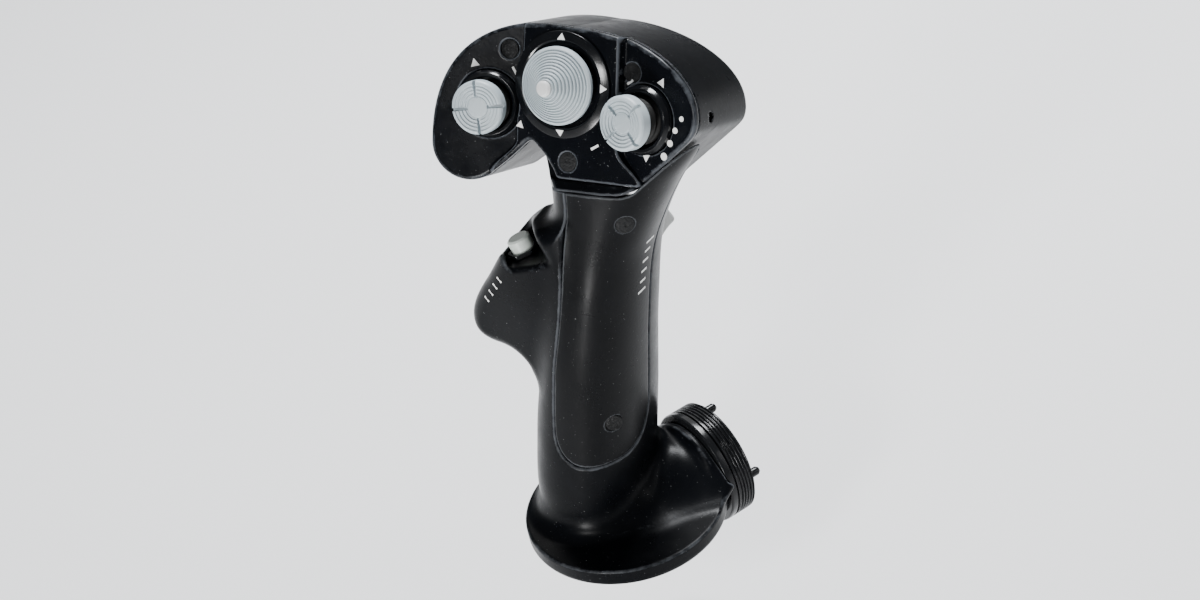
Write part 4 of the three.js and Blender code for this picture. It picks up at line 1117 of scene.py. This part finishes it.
def potting_blob(name, matrix, node_name, lift):
    """A rough drop of potting compound over a sunk screw."""
    rings, segments = 14, 48
    edge = SCREW_HEAD + 0.2
    radii = np.linspace(0, edge, rings)[:, None] * np.ones((1, segments))
    angles = circle(segments)[None, :]
    x, y = radii * np.cos(angles), radii * np.sin(angles)
    seed = sum(ord(c) for c in name) * 0.37
    lumps = np.vectorize(lambda a, b: noise.fractal(Vector((a * 0.9 + seed, b * 0.9, seed)), 1.0, 2.0, 3))
    share = radii / edge
    top = lift + 0.22 * lumps(x, y) * (1 - share**4) - 0.25 * share**3
    rim = [(edge, lift - 0.5, 0.1), (edge - 0.8, lift - 0.7, 0.1), (0, lift - 0.7, 0)]
    rim_radii, rim_heights = spun(filleted(rim), segments)
    radii = np.concatenate((radii, rim_radii))[::-1]
    heights = np.concatenate((top, rim_heights))[::-1]
    revolved(name, radii, heights, angles, matrix, "potting", "casing", [node_name])


def potted_screws():
    for i, (x, v) in enumerate(FACE_SCREWS):
        place = FACE @ move(x, v, face_depth(x, v))
        potting_blob(f"face_screw_fill_{i + 1}", place, f"face_screw_potting_{i + 1}", 0.12)
    for i, matrix in enumerate(PALM_SCREWS):
        potting_blob(f"palm_screw_fill_{i + 1}", GRIP @ matrix, f"palm_screw_potting_{i + 1}", 0.1)


def arrow(length, width):
    return [(-width / 2, -length / 2), (width / 2, -length / 2), (0, length / 2)]


def bar(length, width):
    x, y = length / 2, width / 2
    return [(-x, -y), (x, -y), (x, y), (-x, y)]


def dot(radius):
    return [(radius * math.cos(a), radius * math.sin(a)) for a in circle(20)]


def painted(name, outline, matrix, field=None):
    """A flat generic mark, 0.07 mm proud of the face or of a field's surface in the grip's frame."""
    count = len(outline)
    rim = [*outline, np.mean(outline, 0)]
    points = np.array([(x, y, z) for z in (PAINT_PROUD, -PAINT_SUNK) for x, y in rim])
    under = count + 1
    faces = []
    for i in range(count):
        j = (i + 1) % count
        faces += [[i, j, count], [under + j, under + i, under + count], [under + i, under + j, j, i]]
    if field is not None:
        lift = points[:, 2].copy()
        points[:, 2] = 6.0
        to_grip = between(matrix, GRIP)
        inward = -to_grip[:3, 2]
        placed = carried(to_grip, points)
        for _ in range(30):
            placed = placed + inward * field(placed.astype(np.float32)).astype(float)[:, None] * 0.8
        points = placed - inward * lift[:, None]
        matrix = GRIP
    mesh_object(name, points, faces, matrix, "legend", "casing", (), math.radians(30))


def on_face(x, v, turn):
    """A frame on the middle zone, a wing or the boss ring, turned by some degrees."""
    depth = face_depth(x, v)
    lean = turn_y(0)
    if BOSS_INNER < math.hypot(x, v) < BOSS_OUTER:
        bearing = math.atan2(v, x)
        depth = BOSS_MIDDLE
        lean = turn_z(bearing) @ turn_y(BOSS_SLOPE) @ turn_z(-bearing)
    elif x < LEFT_STEP:
        lean = turn_y(math.atan(WING_SLOPE))
    elif x > RIGHT_STEP + 1:
        lean = turn_y(-math.atan(WING_SLOPE))
    return FACE @ move(x, v, depth + 0.02) @ lean @ turn_z(math.radians(turn))


def face_marks():
    """Marks round the hats: arrows for directions, bars and dots for the rest."""
    marks = [
        ("left_hat_up", -32.9, 4.6, 14, arrow(2.6, 3.0)),
        ("left_hat_right", -19.4, 2.6, -60, bar(2.8, 0.8)),
        ("left_hat_down", -15.3, -14.6, -130, arrow(2.4, 2.6)),
        ("trim_up", 0, 15.4, 0, arrow(2.2, 2.8)),
        ("trim_right", 15.4, 0, -90, arrow(2.2, 2.8)),
        ("trim_down", 0, -15.4, 180, arrow(2.2, 2.8)),
        ("right_hat_left", 22.8, 2.4, 35, bar(2.6, 0.8)),
        ("right_hat_up", 35.2, 3.8, -28, arrow(2.6, 3.0)),
        ("right_hat_low", 11.9, -19, 30, bar(3.0, 0.8)),
        ("right_hat_down", 29.8, -20.9, 180, arrow(2.4, 2.8)),
        ("level_1", 43.0, -6.9, -25, dot(0.85)),
        ("level_2", 40.7, -10.8, -25, dot(0.97)),
        ("level_3", 38.9, -15.0, -25, dot(1.09)),
        ("level_4", 36.7, -19.4, -25, dot(1.21)),
    ]
    for name, x, v, turn, outline in marks:
        painted("mark_" + name, outline, on_face(x, v, turn))


def side_marks():
    """A scale of short bars down the handle's right side, and four on the lobe's edge."""
    out = turn_z(math.pi / 2) @ turn_x(math.pi / 2)
    for i in range(6):
        t = i / 5
        spot = move(20 + 5.3 * t, 7.7 + 4 * t, 90.5 + 18.5 * t) @ out
        painted(f"mark_grip_{i + 1}", bar(3.0 if i % 5 else 4.2, 0.8), GRIP @ spot, grip_outside)
    ahead = turn_z(math.radians(-14)) @ turn_x(math.pi / 2) @ turn_z(math.radians(-39))
    for i in range(4):
        spot = move(-27.4 - 2.8 * i, -3, 96.2 - 3.4 * i) @ ahead
        painted(f"mark_lobe_{i + 1}", bar(2.4, 0.8), GRIP @ spot, grip_outside)


# ---------- stage, light and camera ----------


def stage():
    """A plain floor, a little below the part."""
    floor_z = cad_box[0][2] - 0.045
    mesh = bpy.data.meshes.new("floor")
    half = 4.0
    corners = [(x * half, y * half, floor_z) for x, y in ((-1, -1), (1, -1), (1, 1), (-1, 1))]
    mesh.from_pydata(corners, [], [(0, 1, 2, 3)])
    finish = {"Base_Color": (0.9, 0.9, 0.9, 1), "Roughness": 0.8, "Specular_IOR_Level": 0.1}
    mesh.materials.append(plain_material("floor_pale", **finish)[0])
    linked("floor", mesh)


def softbox(name, place, target, size, power, colour=(1, 1, 1)):
    """A rectangular lamp that faces a point; its sides are in metres and its power in watts."""
    lamp = bpy.data.lights.new(name, "AREA")
    lamp.shape = "RECTANGLE"
    lamp.size, lamp.size_y = size
    lamp.energy = power
    lamp.color = colour
    ob = linked(name, lamp)
    ob.location = place
    ob.rotation_euler = (Vector(target) - Vector(place)).to_track_quat("-Z", "Y").to_euler()


def lights():
    world = bpy.data.worlds.new("studio")
    bpy.context.scene.world = world
    world.use_nodes = True
    background = world.node_tree.nodes["Background"]
    background.inputs["Color"].default_value = (0.93, 0.95, 1.0, 1)
    background.inputs["Strength"].default_value = 0.16
    softbox("key", (-0.02, -0.9, 0.6), (0, 0, 0.1), (0.14, 0.14), 5.0)
    softbox("low", (-0.01, -0.8, 0.0), (0, 0, 0.1), (0.12, 0.12), 6.0)
    softbox("top", (-0.1, 0.6, 1.3), (0, 0, 0.1), (0.4, 0.4), 44.0, (0.95, 0.97, 1.0))
    softbox("side", (1.3, 0.15, 0.6), (0, 0, 0.1), (0.2, 0.9), 2.0)
    softbox("back", (-0.7, 1.05, 0.95), (0, 0, 0.1), (1.0, 1.0), 5.0)


AZIMUTH = math.radians(33.95)
ELEVATION = math.radians(34.46)
ROLL = math.radians(12.41)
CAMERA_PLACE = (0.3086, -0.5126, 0.4881)


def camera():
    """The camera, turned round its own line of sight by ROLL."""
    data = bpy.data.cameras.new("view")
    data.lens = 63.17
    data.clip_start = 0.01
    ob = linked("view", data)
    aim = turn_z(AZIMUTH) @ turn_x(math.pi / 2 - ELEVATION) @ turn_z(-ROLL)
    ob.matrix_world = Matrix((move(*CAMERA_PLACE) @ aim).tolist())
    bpy.context.scene.camera = ob


camera()
stage()
lights()
dress_cad_nodes()
shells()
side_hat("left_hat", math.radians(8))
side_hat("right_hat", math.radians(45))
trim_hat()
release_button()
thread_collar()
index_pins()
potted_screws()
face_marks()
side_marks()
